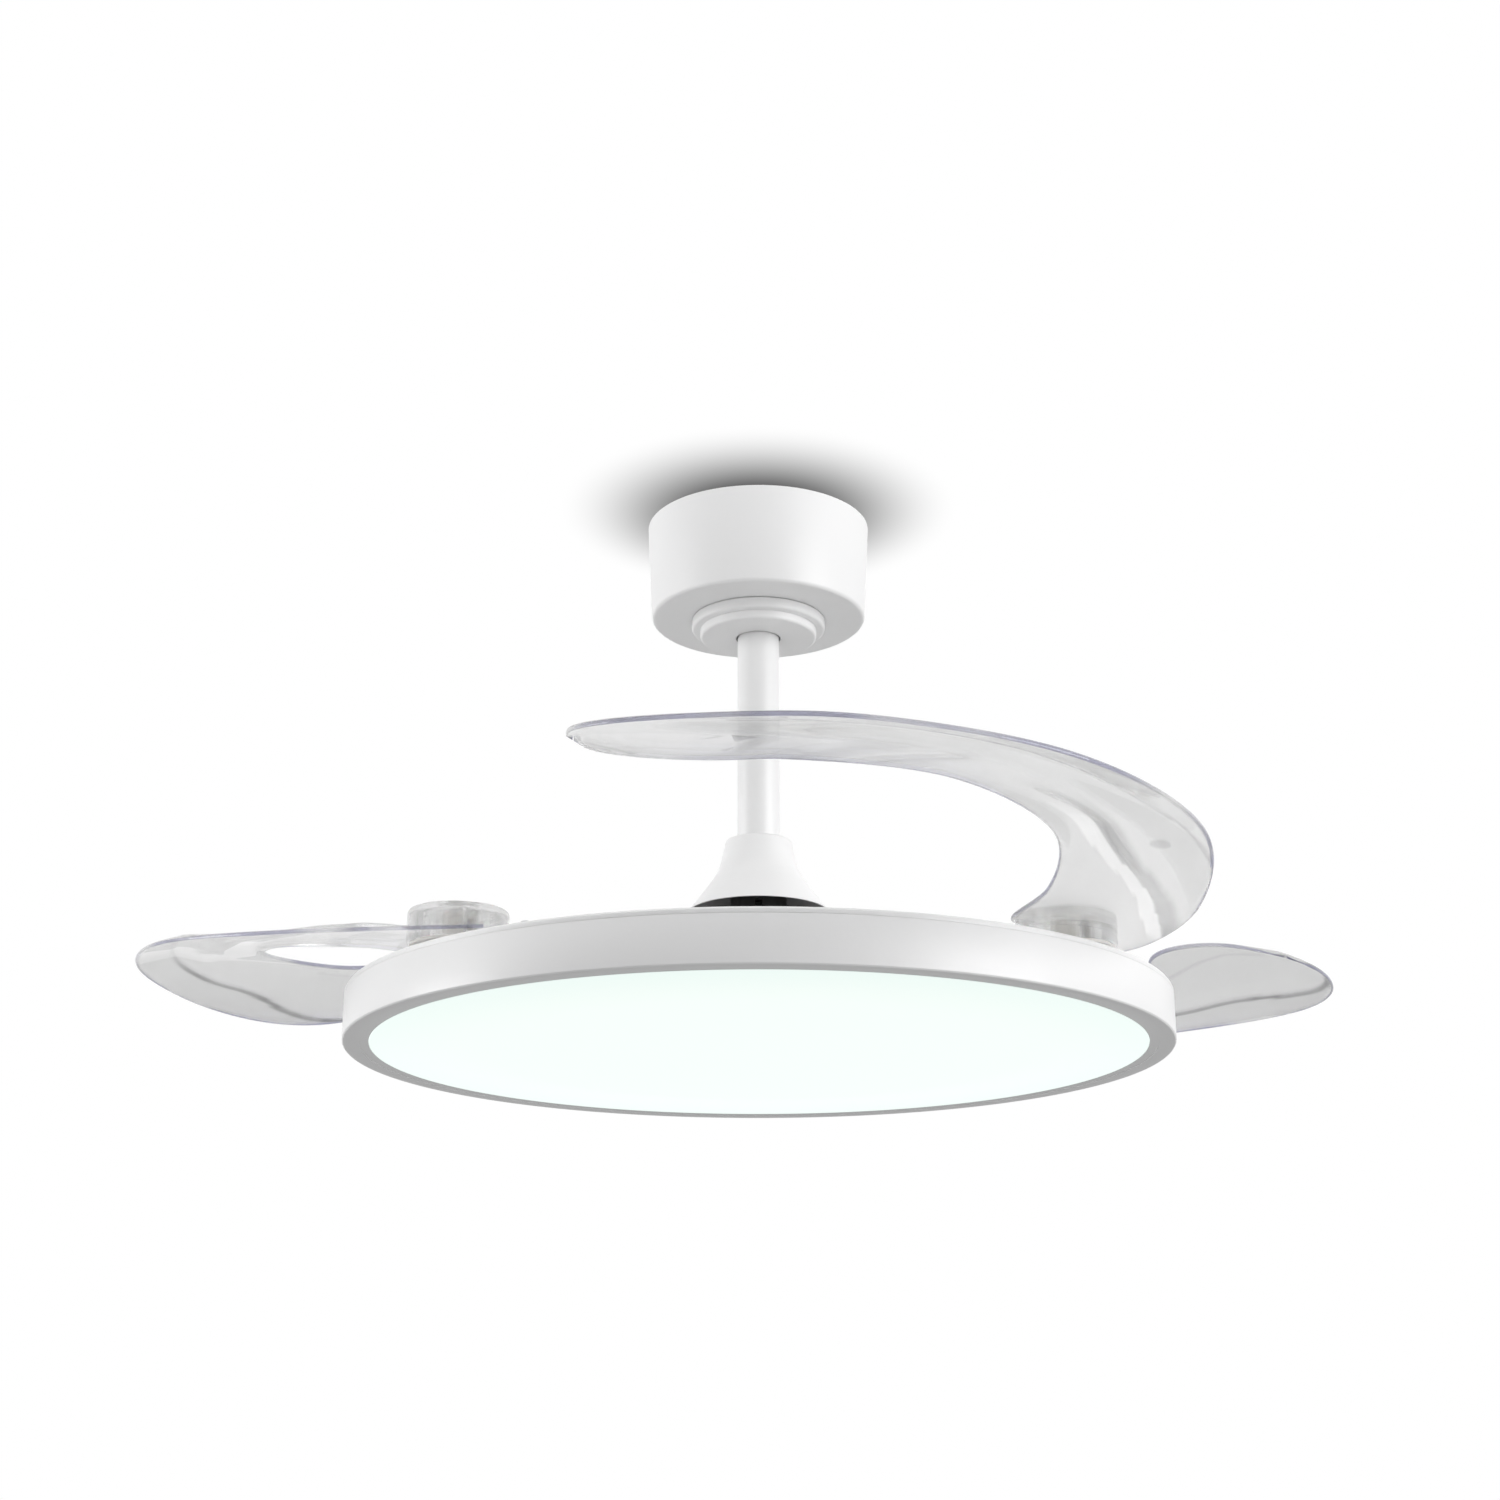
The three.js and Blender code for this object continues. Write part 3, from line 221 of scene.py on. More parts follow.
class Shader:
    """One material: a Principled BSDF, and one way of making every other node."""

    def __init__(self, name, **constants):
        self.material = bpy.data.materials.new(name)
        self.material.use_nodes = True
        self.tree = self.material.node_tree
        self.surface = self.tree.nodes["Principled BSDF"]
        for key, value in constants.items():
            self.surface.inputs[key.replace("_", " ")].default_value = value
        self.place = self.node("ShaderNodeTexCoord").out("Object")

    def node(self, kind, settings=None, inputs=None):
        node = self.tree.nodes.new(kind)
        for key, value in (settings or {}).items():
            setattr(node, key, value)
        for key, value in (inputs or {}).items():
            self.link(node.inputs[key], value)
        return Made(self, node)

    def link(self, socket, value):
        if isinstance(value, Value):
            self.tree.links.new(value.socket, socket)
        else:
            socket.default_value = value

    def feed(self, **inputs):
        """Links or sets inputs of the Principled BSDF."""
        for key, value in inputs.items():
            self.link(self.surface.inputs[key.replace("_", " ")], value)

    def noise(self, scale, detail):
        inputs = {"Vector": self.place, "Scale": scale, "Detail": detail}
        return self.node("ShaderNodeTexNoise", {}, inputs).out()

    def cells(self, scale):
        return self.node("ShaderNodeTexVoronoi", {}, {"Vector": self.place, "Scale": scale}).out("Distance")

    def sine(self, value):
        return self.node("ShaderNodeMath", {"operation": "SINE"}, {0: value}).out()

    def split(self, vector):
        return self.node("ShaderNodeSeparateXYZ", {}, {0: vector}).all("XYZ")

    def attribute(self, name):
        """The three values of a vector that is stored at the mesh's points."""
        return self.split(self.node("ShaderNodeAttribute", {"attribute_name": name}).out("Vector"))

    def between(self, value, low, high):
        """0 below low, 1 above high and smooth between."""
        return self.node("ShaderNodeMapRange", {"interpolation_type": "SMOOTHSTEP"},
                         {"Value": value, "From Min": low, "From Max": high}).out()

    def mix(self, factor, first, second):
        return self.node("ShaderNodeMix", {"data_type": "RGBA"}, {0: factor, 6: first, 7: second}).out(2)

    def bump(self, height, distance, strength):
        inputs = {"Height": height, "Distance": distance, "Strength": strength}
        return self.node("ShaderNodeBump", {}, inputs).out("Normal")


def length(x, y):
    """How far a point is from Z, by its two values."""
    return (x * x + y * y) ** 0.5


def grey(value, tint=(0, 0, 0)):
    """A grey, or with a little more or less of each primary colour."""
    return (value + tint[0], value + tint[1], value + tint[2], 1)


def enamel(name, shaded_inside=False):
    """Satin white powder coat, and if asked, painted shade, near black, where the attribute marks the
    piece's inside.
    """
    shader = Shader(name, Coat_Roughness=0.2, Specular_IOR_Level=0.45)
    cloud = shader.noise(9, 2)
    colour = shader.mix(cloud, grey(0.80), grey(0.83, (0, 0, 0.004)))
    if shaded_inside:
        # painted shade: the inside of the piece is made near black
        colour = shader.mix(shader.attribute("inside")[0], colour, grey(0.04))
    shader.feed(Base_Color=colour, Roughness=0.34 + cloud * 0.08, Coat_Weight=0.12 + cloud * 0.06,
                Normal=shader.bump(shader.noise(420, 2), 0.00006, 0.35))
    return shader.material


def zinc_plate():
    shader = Shader("zinc_plate", Metallic=1.0)
    spangle = shader.cells(260)
    cloud = shader.noise(40, 4)
    shader.feed(Base_Color=shader.mix(cloud, grey(0.56), grey(0.68, (0, 0.004, 0.012))),
                Roughness=0.27 + spangle * 0.1 + cloud * 0.12, Normal=shader.bump(cloud, 0.00005, 0.3))
    return shader.material


def turned_steel():
    shader = Shader("turned_steel", Metallic=1.0)
    _x, _y, z = shader.split(shader.place)
    rings = shader.sine(z * 21000)
    cloud = shader.noise(90, 3)
    shader.feed(Base_Color=shader.mix(cloud, grey(0.5), grey(0.62, (0, 0, 0.01))),
                Roughness=0.22 + cloud * 0.14, Normal=shader.bump(rings, 0.000015, 0.4))
    return shader.material


def black_casting():
    shader = Shader("black_casting", Specular_IOR_Level=0.4)
    grain = shader.noise(900, 3)
    cloud = shader.noise(60, 3)
    shader.feed(Base_Color=shader.mix(cloud, grey(0.012), grey(0.03)), Roughness=0.42 + cloud * 0.2,
                Normal=shader.bump(grain, 0.0001, 0.5))
    return shader.material


def nylon():
    shader = Shader("natural_nylon", Subsurface_Weight=0.05, Subsurface_Scale=0.004)
    cloud = shader.noise(70, 4)
    shader.feed(Base_Color=shader.mix(cloud, grey(0.72, (0.01, 0, -0.03)), grey(0.8, (0.01, 0, -0.02))),
                Roughness=0.42 + cloud * 0.16, Normal=shader.bump(shader.noise(1100, 2), 0.00004, 0.4))
    return shader.material


def grey_abs():
    shader = Shader("grey_abs")
    spark = shader.cells(1500)
    cloud = shader.noise(50, 2)
    shader.feed(Base_Color=shader.mix(cloud, grey(0.2), grey(0.25)), Roughness=0.5 + cloud * 0.14,
                Normal=shader.bump(spark, 0.00006, 0.5))
    return shader.material


def circuit_board():
    shader = Shader("circuit_board")
    inputs = {"Vector": shader.place, "Scale": 900.0,
              "Color1": grey(0.82), "Color2": grey(0.78), "Mortar": grey(0.7)}
    weave = shader.node("ShaderNodeTexBrick", {}, inputs).out("Color")
    cloud = shader.noise(60, 2)
    shader.feed(Base_Color=shader.mix(cloud * 0.4, weave, grey(0.86)), Roughness=0.35 + cloud * 0.1)
    return shader.material


def opal_acrylic():
    """Lit from behind, a little less towards its edge."""
    shader = Shader("opal_acrylic", Emission_Strength=1.0, Specular_IOR_Level=0.15)
    x, y, _z = shader.split(shader.place)
    edge = shader.between(length(x, y), 0.18, 0.236)
    cloud = shader.noise(6, 1)
    shader.feed(Base_Color=shader.mix(cloud, (0.24, 0.26, 0.25, 1), (0.26, 0.28, 0.27, 1)),
                Emission_Color=shader.mix(edge, (0.765, 0.835, 0.8, 1), (0.74, 0.83, 0.795, 1)),
                Roughness=0.34 + cloud * 0.05)
    return shader.material


def clear_polycarbonate():
    """Clear, with painted shade along the outer band, its crease, the loop, the gate's mark and the hollow
    beside the fold, a bluish painted shade at its edges, and a painted highlight on the crest of the fold.

    The attributes hold distances in widths of the blade from the fold and the band, and in mm from the
    edge, the gate's mark, the pivot and the loop, and the place along the blade.
    """
    shader = Shader("clear_polycarbonate", IOR=1.42, Transmission_Weight=1.0)
    fold, band, edge = shader.attribute("creases")
    gate, along, from_pivot = shader.attribute("marks")
    loop = 1 - shader.between(shader.attribute("loops")[0], 1.2, 4)
    flow = shader.noise(7, 2)
    sheet = shader.between(from_pivot, 27, 34)
    at_root = shader.between(along, 0.15, 0.2) * (1 - shader.between(along, 0.48, 0.62)) * sheet
    at_tip = shader.between(along, 0.6, 0.72)
    # painted highlight along the crest of the fold near the root
    ridge_highlight = shader.between(fold, -0.075, -0.045) * (1 - shader.between(fold, 0.045, 0.075)) * at_root
    # painted shade: the hollow beside the fold, the outer band, its crease, the gate's mark and the loop are
    # darkened
    hollow = shader.between(fold, -0.26, -0.15) * (1 - shader.between(fold, -0.075, -0.045)) * at_root
    rim_shade = 1 - shader.between(band, -0.03, 0.012)
    crease = rim_shade * shader.between(band, -0.06, -0.02)
    mark = 1 - shader.between(gate, 5.5, 6.5)
    tone = 0.7 - shader.between(along, 0.35, 0.95) * 0.22 + flow * 0.04
    shade = (hollow * 0.62 + rim_shade * (0.26 - at_tip * 0.12) + crease * (0.3 + at_tip * 0.35)
             + mark * 0.34 + loop * 0.2)
    body = shader.mix(tone * (1 - shade) + ridge_highlight * 0.3, (0, 0, 0.004, 1), (1, 1, 1, 1))
    # painted shade: a bluish dark line along the edges, broken up by noise; it and the crease near the tip
    # are also made less clear
    line = (1 - shader.between(edge, 0.3, 1.1)) * sheet * shader.between(shader.noise(14, 2), 0.3, 0.6)
    shader.feed(Base_Color=shader.mix(line * 0.9, body, (0.14, 0.14, 0.27, 1)), Roughness=0.02 + flow * 0.02,
                Alpha=0.6 + line * 0.3 + crease * at_tip * 0.3,
                Normal=shader.bump(shader.noise(16, 1), 0.0006, 0.2))
    return shader.material


def copper_winding():
    shader = Shader("copper_winding", Metallic=1.0, Coat_Weight=0.5)
    x, y, _z = shader.split(shader.place)
    strands = shader.sine(length(x, y) * 9000)
    shader.feed(Base_Color=shader.mix(shader.noise(200, 2), (0.55, 0.2, 0.08, 1), (0.68, 0.3, 0.13, 1)),
                Roughness=0.3 + shader.noise(120, 2) * 0.1, Normal=shader.bump(strands, 0.0002, 0.7))
    return shader.material


def sintered_bronze():
    shader = Shader("sintered_bronze", Metallic=1.0)
    pores = shader.noise(1600, 3)
    shader.feed(Base_Color=shader.mix(pores, (0.4, 0.26, 0.1, 1), (0.55, 0.38, 0.17, 1)),
                Roughness=0.38 + pores * 0.15, Normal=shader.bump(pores, 0.00005, 0.5))
    return shader.material


def moulded_rubber():
    shader = Shader("moulded_rubber", Specular_IOR_Level=0.3)
    dust = shader.noise(120, 3)
    shader.feed(Base_Color=shader.mix(dust, grey(0.012), grey(0.03)), Roughness=0.7 + dust * 0.15,
                Normal=shader.bump(shader.noise(1500, 2), 0.00005, 0.5))
    return shader.material


finishes = {
    "white_enamel": enamel("white_enamel"),
    "zinc_plate": zinc_plate(),
    "steel": turned_steel(),
    "black_casting": black_casting(),
    "nylon": nylon(),
    "grey_abs": grey_abs(),
    "circuit_board": circuit_board(),
    "opal_acrylic": opal_acrylic(),
    "clear_blade": clear_polycarbonate(),
    "copper": copper_winding(),
    "bronze": sintered_bronze(),
    "rubber": moulded_rubber(),
}
slot_of = {part["node"]: part["material_slot"] for part in frame["record"]["subparts"]}
body_of = {node: body for body, nodes in frame["record"]["behaviour"]["bodies"].items() for node in nodes}

for node, obj in frame["nodes"].items():
    obj.data.materials.clear()
    obj.data.materials.append(finishes[slot_of[node]])


def stand_for(obj, *nodes):
    """Dresses a piece as the CAD nodes that it replaces: it joins their body, takes the finish of their
    record slot and hides them.
    """
    slot = slot_of[nodes[0]]
    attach(obj, body_of[nodes[0]])
    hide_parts(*nodes)
    obj.data.materials.clear()
    obj.data.materials.append(finishes[slot])


# ---------------------------------------------------------------- canopy and downrod

ROD_R, ROD_BORE_R = 13.35, 11.65
ROD_TOP, ROD_FOOT = -24.6, 97.3 - DROP

canopy = turned("canopy_shell", [
    (72, 0), *arc(66.5, -61, 2.5, 0, -90, 6), (22, -63.5), (22, -62), (66.5, -62), (67.5, -61),
    (70.5, 0)], bevel=0.3)
stand_for(canopy, "canopy")

collar = turned("canopy_collar_steps", [
    (43, -63.8), *arc(41.2, -68.6, 1.8, 0, -90, 5), (37.5, -70.4), *arc(35.7, -74, 1.8, 0, -90, 5),
    (14.35, -75.8), (14.35, -74.3), (36, -74.3), (36, -68.9), (41.5, -68.9), (41.5, -63.8)], bevel=0.25)
stand_for(collar, "canopy_collar")

rod = turned("downrod_tube", [
    (ROD_R, ROD_FOOT), (ROD_R, ROD_TOP), (ROD_BORE_R, ROD_TOP), (ROD_BORE_R, ROD_FOOT)], bevel=0.3)
stand_for(rod, "downrod")

# ---------------------------------------------------------------- bell

BELL_WALL = 1.8
NECK_Z = 124.7
# The bell's inside, below this height and deeper than this under its outer face, gets painted shade.
INSIDE_SHADE_TOP = 125
INSIDE_SHADE_DEPTH = 1.2


def spline(points, per_span):
    """A smooth line through the points, as a draughtsman's curve."""
    line = []
    for i in range(len(points) - 1):
        p = [Vector(points[max(0, min(len(points) - 1, j))]) for j in (i - 1, i, i + 1, i + 2)]
        for k in range(per_span):
            t = k / per_span
            line.append(0.5 * (2 * p[1] + (p[2] - p[0]) * t + (2 * p[0] - 5 * p[1] + 4 * p[2] - p[3]) * t * t
                               + (3 * p[1] - p[0] - 3 * p[2] + p[3]) * t ** 3))
    line.append(Vector(points[-1]))
    return [tuple(p) for p in line]


bell_line = spline([(44, 88.5), (37.6, 97), (30.6, 106.4), (25.4, 115), (22.6, 125), (21.4, 131)], 6)
inner_line = [(r - BELL_WALL, z) for r, z in bell_line if z < NECK_Z][::-1]
bell = turned("bell_cover_shell", [
    *bell_line, *arc(18.9, 132.5, 2.2, 5, 90, 5), (13.65, 134.7), (13.65, 127.7), *inner_line],
    level=-DROP, bevel=0.25)
# Marks the bell's inside for the painted shade that enamel gives it.
shaded_inside = bell.data.attributes.new("inside", "FLOAT_VECTOR", "POINT").data
for vertex in bell.data.vertices:
    radius, height = hypot(vertex.co.x, vertex.co.y) / MM, vertex.co.z / MM + DROP
    depth = min(hypot(radius - r, height - z) for r, z in bell_line)
    inside = depth > INSIDE_SHADE_DEPTH and height < INSIDE_SHADE_TOP
    shaded_inside[vertex.index].vector = (1.0 if inside else 0.0, 0, 0)
stand_for(bell, "bell_cover")
bell.data.materials[0] = enamel("bell_enamel_shaded_inside", shaded_inside=True)

# ---------------------------------------------------------------- lamp

LAMP_R = 250
LAMP_STEPS = 256

pan = turned("lamp_pan_disc", [
    (LAMP_R, 26.52), (LAMP_R, 28.8), (249.3, 29.7), (248.4, 30), (8.8, 30), (8.8, 28.5), (248.5, 28.5),
    (248.5, 26.52)], level=-DROP, steps=LAMP_STEPS, bevel=0.12)
stand_for(pan, "lamp_pan")

ring = turned("lamp_ring_shell", [
    (249.2, 0), (LAMP_R, 0.8), (LAMP_R, 26.46), (248.2, 26.46), (248.2, 28.2), (238, 28.2), (238, 26.7),
    (246.7, 26.7), (246.7, 2.1), (234.3, 2.1), (234.3, 0.6), (240, 0.6), (240, 0)],
    level=-DROP, steps=LAMP_STEPS, bevel=0.12)
stand_for(ring, "lamp_ring")

opal = turned("diffuser_disc", [
    (0, 0), (163, 0.25), (233.9, 0.5), (233.9, 2.4), (243.9, 2.4), (243.9, 4), (231.7, 4), (187, 2.7),
    (0, 2.2)], level=-DROP, steps=LAMP_STEPS, bevel=0.15)
stand_for(opal, "diffuser")

# ---------------------------------------------------------------- motor

upper = turned("motor_upper_shell_skin", [
    (75, 51), (75, 61), *arc(70, 61, 5, 20, 80, 6), (22, 67.5), (20, 71.5), (10, 71.5), (10, 69.8),
    (16.3, 69.8), (16.3, 62.5), (18.9, 62.5), (18.9, 64.8), (70, 63.3), (72.3, 60.6), (72.3, 51)],
    level=-DROP, bevel=0.4)
stand_for(upper, "motor_upper_shell")

lower = turned("motor_lower_shell_skin", [
    (12, 35.8), (83, 35.8), (83, 38), (75, 38), (75, 50.7), (72.3, 50.7), (72.3, 38), (18.9, 38),
    (18.9, 45), (16.3, 45), (16.3, 37.7), (12, 37.7)], level=-DROP, bevel=0.4)
stand_for(lower, "motor_lower_shell")

shaft = turned("motor_shaft_tube", [
    (8.5, 19), (8.5, 30.3), (14, 30.3), (14, 32.7), (8.5, 32.7), (8.5, 93), (4.5, 93), (4.5, 19)],
    level=-DROP, bevel=0.4)
stand_for(shaft, "motor_shaft")

# ---------------------------------------------------------------- blades

PIVOT_R = 201
PIVOT_ANGLES = [-28.6, -148.6, -268.6]
OPEN_ANGLE = 56
SHEET_R = 247
THICK = 2.6
THIN_END = 0.25
CAMBER = 10
STATIONS = [  # angle back along the blade, inset of the outer edge, width, outer and inner height
    (-5, 9, 55, 46, 60), (8, 7, 89, 45, 51.8), (24, 7, 82.5, 48.2, 57.2), (52, 4.4, 77.5, 59, 67.8),
    (80, 7, 84.3, 67.4, 78.6), (110, 2.4, 116.7, 69.2, 87), (127, 0, 140.2, 67.5, 93.2)]
TIP, TIP_RISE = 55.8, 2.6
TIP_SHARE = 0.1  # the tip's part of "along", which is 1 at the last station
TIP_FULLNESS = 0.75  # 1 for half an ellipse, less for a squarer tip
ROWS, TIP_ROWS, ACROSS = 110, 18, 44
BOSS_R, HOLLOW_R, SLEEVE_R = 29, 26.4, 9.2
BOSS_FOOT = 43.8
COLUMN_R, COLUMN_BORE_R, COLUMN_CIRCLE_R = 4, 2.1, 20
BAND_HEIGHT, FOLD_HEIGHT = 2.4, 3.2

# Lines moulded in the blade, each point a place along the blade and a place across it.
FOLD = [(0.17, 0.0), (0.248, 0.2), (0.328, 0.375), (0.37, 0.506), (0.41, 0.65), (0.462, 0.755), (0.52, 0.78),
        (0.6, 0.83)]
BAND = [(0.42, 0.0), (0.462, 0.1), (0.49, 0.162), (0.528, 0.231), (0.57, 0.28), (0.64, 0.3), (0.77, 0.27),
        (0.83, 0.29), (0.9, 0.25), (0.965, 0.175), (1.03, 0.1), (1.1, 0.04)]
LOOP = [(0.815, 0.88), (0.83, 0.82), (0.89, 0.805), (0.97, 0.765), (1.02, 0.76), (1.055, 0.76), (1.078, 0.7),
        (1.085, 0.62)]
GATE = (0.458, 0.335)
LEAD_IN = 2.5  # how steeply a line comes in from before its first point
SAMPLES = 40  # places across the blade at which its lines are measured
INNER_EDGE_OFF = 0.35  # keeps the painted edge shade fainter on the inner edge


def through(points, t):
    """A point of the centripetal curve through the stations."""
    last = len(points) - 1
    i = min(int(last * t), last - 1)
    w = last * t - i
    p1, p2 = points[i], points[i + 1]
    p0 = points[i - 1] if i else 2 * points[0] - points[1]
    p3 = points[i + 2] if i + 2 <= last else 2 * points[last] - points[last - 1]
    d0, d1, d2 = ((b - a).length ** 0.5 for a, b in ((p0, p1), (p1, p2), (p2, p3)))
    t1 = ((p1 - p0) / d0 - (p2 - p0) / (d0 + d1) + (p2 - p1) / d1) * d1
    t2 = ((p2 - p1) / d1 - (p3 - p1) / (d1 + d2) + (p3 - p2) / d2) * d1
    return p1 + t1 * w + (3 * (p2 - p1) - 2 * t1 - t2) * w ** 2 + (2 * (p1 - p2) + t1 + t2) * w ** 3


def station_point(radius, angle, height):
    return Vector((radius * cos(radians(-angle)), radius * sin(radians(-angle)), height))


outer_edge, inner_edge = [], []
for angle, inset, width, outer, inner in STATIONS:
    outer_edge.append(station_point(SHEET_R - inset, angle, outer))
    inner_edge.append(station_point(SHEET_R - inset - width, angle, inner))


def ease(value, low, high):
    """0 below low, 1 above high and smooth between."""
    t = max(0.0, min(1.0, (value - low) / (high - low)))
    return t * t * (3 - 2 * t)


def follow(line, along):
    """The place across the blade where a line runs, on a smooth curve through its points."""
    if along <= line[0][0]:
        return line[0][1] - LEAD_IN * (line[0][0] - along)
    for i in range(len(line) - 1):
        (a0, c0), (a1, c1) = line[i], line[i + 1]
        if along <= a1:
            before, after = line[max(0, i - 1)], line[min(len(line) - 1, i + 2)]
            start = (c1 - before[1]) / (a1 - before[0]) * (a1 - a0)
            end = (after[1] - c0) / (after[0] - a0) * (a1 - a0)
            t = (along - a0) / (a1 - a0)
            rise = c1 - c0
            return c0 + start * t + (3 * rise - 2 * start - end) * t ** 2 + (start + end - 2 * rise) * t ** 3
    return line[-1][1]


def blade_relief(along, across):
    """Height that the moulding adds: a crease inside the outer band, and a fold that winds over the root."""
    band = follow(BAND, along)
    crease = 0.0
    if band > 0:
        side = across / band if across < band else 1 - ease(across, band, band + 0.3)
        crease = BAND_HEIGHT * min(1, band / 0.15) * side
    fold = across - follow(FOLD, along)
    step = FOLD_HEIGHT * ease(fold, -0.19, -0.02) * (1 - ease(fold, 0.05, 0.5))
    lasts = ease(along, 0.1, 0.22) * (1 - ease(along, 0.5, 0.66))
    return crease + step * lasts * ease(across, 0.0, 0.1) * (1 - ease(across, 0.9, 1.0))


def section(width):
    """Places across the blade, 0 to 1, with half the thickness there: rounded at both edges."""
    edge = min(THICK / 2, width * 0.45)
    rounding = [(edge * (1 - cos(radians(a))) / width, THICK / 2 * sin(radians(a))) for a in (0, 30, 60, 90)]
    start, end = rounding[-1][0], 1 - rounding[-1][0]
    flat = [(start + (end - start) * k / ACROSS, THICK / 2) for k in range(1, ACROSS)]
    return rounding + flat + [(1 - place, half) for place, half in rounding[::-1]]


def eased(points, passes, middle, reach):
    """A line of points made smooth near one place, and less and less away from it."""
    for _pass in range(passes):
        before = list(points)
        for i in range(max(1, middle - reach), min(len(points) - 1, middle + reach)):
            share = 0.5 * (1 - ((i - middle) / reach) ** 2) ** 2
            points[i] = before[i].lerp((before[i - 1] + before[i + 1]) / 2, share)


def blade_rows():
    """Outer point, inner point and place along the blade, from its root round the tip."""
    places = [i / ROWS for i in range(ROWS + 1)]
    outer = [through(outer_edge, place) for place in places]
    inner = [through(inner_edge, place) for place in places]
    middle = (outer[-1] + inner[-1]) / 2
    half = outer[-1] - middle
    ahead = Vector((half.y, -half.x, 0)).normalized()
    for k in range(1, TIP_ROWS + 1):
        a = pi / 2 * k / (TIP_ROWS + 0.06)
        centre = middle + ahead * TIP * sin(a) + Vector((0, 0, TIP_RISE * sin(a)))
        outer.append(centre + half * cos(a) ** TIP_FULLNESS)
        inner.append(centre - half * cos(a) ** TIP_FULLNESS)
        places.append(1 + TIP_SHARE * sin(a))
    eased(outer, passes=110, middle=ROWS - 2, reach=20)
    eased(inner, passes=50, middle=ROWS, reach=14)
    return list(zip(outer, inner, places))


def sheet_point(first, second, along, across):
    """A point of the blade's middle surface, between its outer and inner edge."""
    point = first.lerp(second, across)
    point.z += CAMBER * across * (1 - across) + blade_relief(along, across)
    return point


def blade_sheet(pairs):
    """The blade as one tube of sections."""
    loops = []
    for first, second, along in pairs:
        to_end = TIP * (1 + TIP_SHARE - along) / TIP_SHARE
        thin = max(THIN_END, 1 - max(0.0, 1 - to_end / (THICK / 2)) ** 2) ** 0.5
        upper, lower = [], []
        for across, thick in section((second - first).length):
            point = sheet_point(first, second, along, across)
            upper.append(point + Vector((0, 0, thick * thin)))
            lower.append(point - Vector((0, 0, thick * thin)))
        loops.append(upper + lower[-2:0:-1])
    round_count, row_count = len(loops[0]), len(loops)
    deselect()
    bpy.ops.mesh.primitive_grid_add(x_subdivisions=round_count, y_subdivisions=row_count - 1, size=1)
    obj = bpy.context.object
    obj.name = "blade_sheet"
    for vertex in obj.data.vertices:
        k = round((vertex.co.x + 0.5) * round_count) % round_count
        i = round((vertex.co.y + 0.5) * (row_count - 1))
        vertex.co = loops[i][k] * MM
    bpy.ops.object.mode_set(mode="EDIT")
    bpy.ops.mesh.select_all(action="SELECT")
    bpy.ops.mesh.remove_doubles(threshold=1e-6)
    bpy.ops.mesh.select_all(action="DESELECT")
    bpy.ops.mesh.select_mode(type="EDGE")
    bpy.ops.mesh.select_non_manifold()
    bpy.ops.mesh.fill()
    bpy.ops.object.mode_set(mode="OBJECT")
    return clean(obj)


def blade_foot():
    """The hollow boss that drops over the gear, with its sleeve hole."""
    foot = turned("blade_foot", [
        (BOSS_R, BOSS_FOOT), *arc(27, 61, 2, 0, 90, 5), (SLEEVE_R, 63), (SLEEVE_R, 60), (25, 60),
        (HOLLOW_R, 58.6), (HOLLOW_R, BOSS_FOOT)], steps=96, bevel=0)
    return moved(foot, Matrix.Translation((PIVOT_R * MM, 0, 0)))


def search_tree(points):
    """A tree that finds the nearest of the points."""
    tree = kdtree.KDTree(len(points))
    for i, point in enumerate(points):
        tree.insert(point, i)
    tree.balance()
    return tree


def loop_points(pairs):
    """The moulded loop at the tip, as closely spaced points to measure from."""
    stops = []
    for along, across in LOOP:
        first, second, _along = min(pairs, key=lambda pair: abs(pair[2] - along))
        stops.append(sheet_point(first, second, along, across))
    return [a.lerp(b, k / 10) for a, b in zip(stops, stops[1:]) for k in range(10)]


def note_creases(blade, pairs):
    """Stores, at each point, what clear_polycarbonate needs to know."""
    places, points = [], []
    for first, second, along in pairs:
        for k in range(SAMPLES + 1):
            places.append((along, k / SAMPLES, (second - first).length))
            points.append(sheet_point(first, second, along, k / SAMPLES))
    nearest = search_tree(points)
    nearest_loop = search_tree(loop_points(pairs))
    pivot = Vector((PIVOT_R, 0))
    gate = sheet_point(through(outer_edge, GATE[0]), through(inner_edge, GATE[0]), *GATE)
    names = ("creases", "marks", "loops")
    for name in names:
        blade.data.attributes.new(name, "FLOAT_VECTOR", "POINT")
    creases, marks, loops = (blade.data.attributes[name].data for name in names)
    for vertex in blade.data.vertices:
        point = vertex.co / MM
        along, across, width = places[nearest.find(point)[1]]
        edge = min(across * width, (1 - across) * width + INNER_EDGE_OFF)
        to_fold, to_band = across - follow(FOLD, along), across - follow(BAND, along)
        creases[vertex.index].vector = (to_fold, to_band, edge)
        marks[vertex.index].vector = ((point - gate).length, along, (pivot - point.xy).length)
        loops[vertex.index].vector = (nearest_loop.find(point)[2], 0, 0)


def clear_blade():
    """A blade with its boss and three screw columns, at the pivot that lies on X."""
    pairs = blade_rows()
    blade = blade_sheet(pairs)
    boolean(blade, plug("foot_hollow", HOLLOW_R, 20, 60, PIVOT_R, 0), "DIFFERENCE")
    boolean(blade, blade_foot(), "UNION")
    boolean(blade, plug("sleeve_hole", SLEEVE_R, 20, 80, PIVOT_R, 0), "DIFFERENCE")
    for i in range(3):
        a = radians(30 + 120 * i)
        x, y = PIVOT_R + COLUMN_CIRCLE_R * cos(a), COLUMN_CIRCLE_R * sin(a)
        column = plug("column", COLUMN_R, BOSS_FOOT, 60.5, x, y, 32)
        boolean(column, plug("column_bore", COLUMN_BORE_R, 40, 54.8, x, y, 24), "DIFFERENCE")
        boolean(blade, column, "UNION")
    clean(blade, 2e-6)
    note_creases(blade, pairs)
    return smooth(blade, 28)


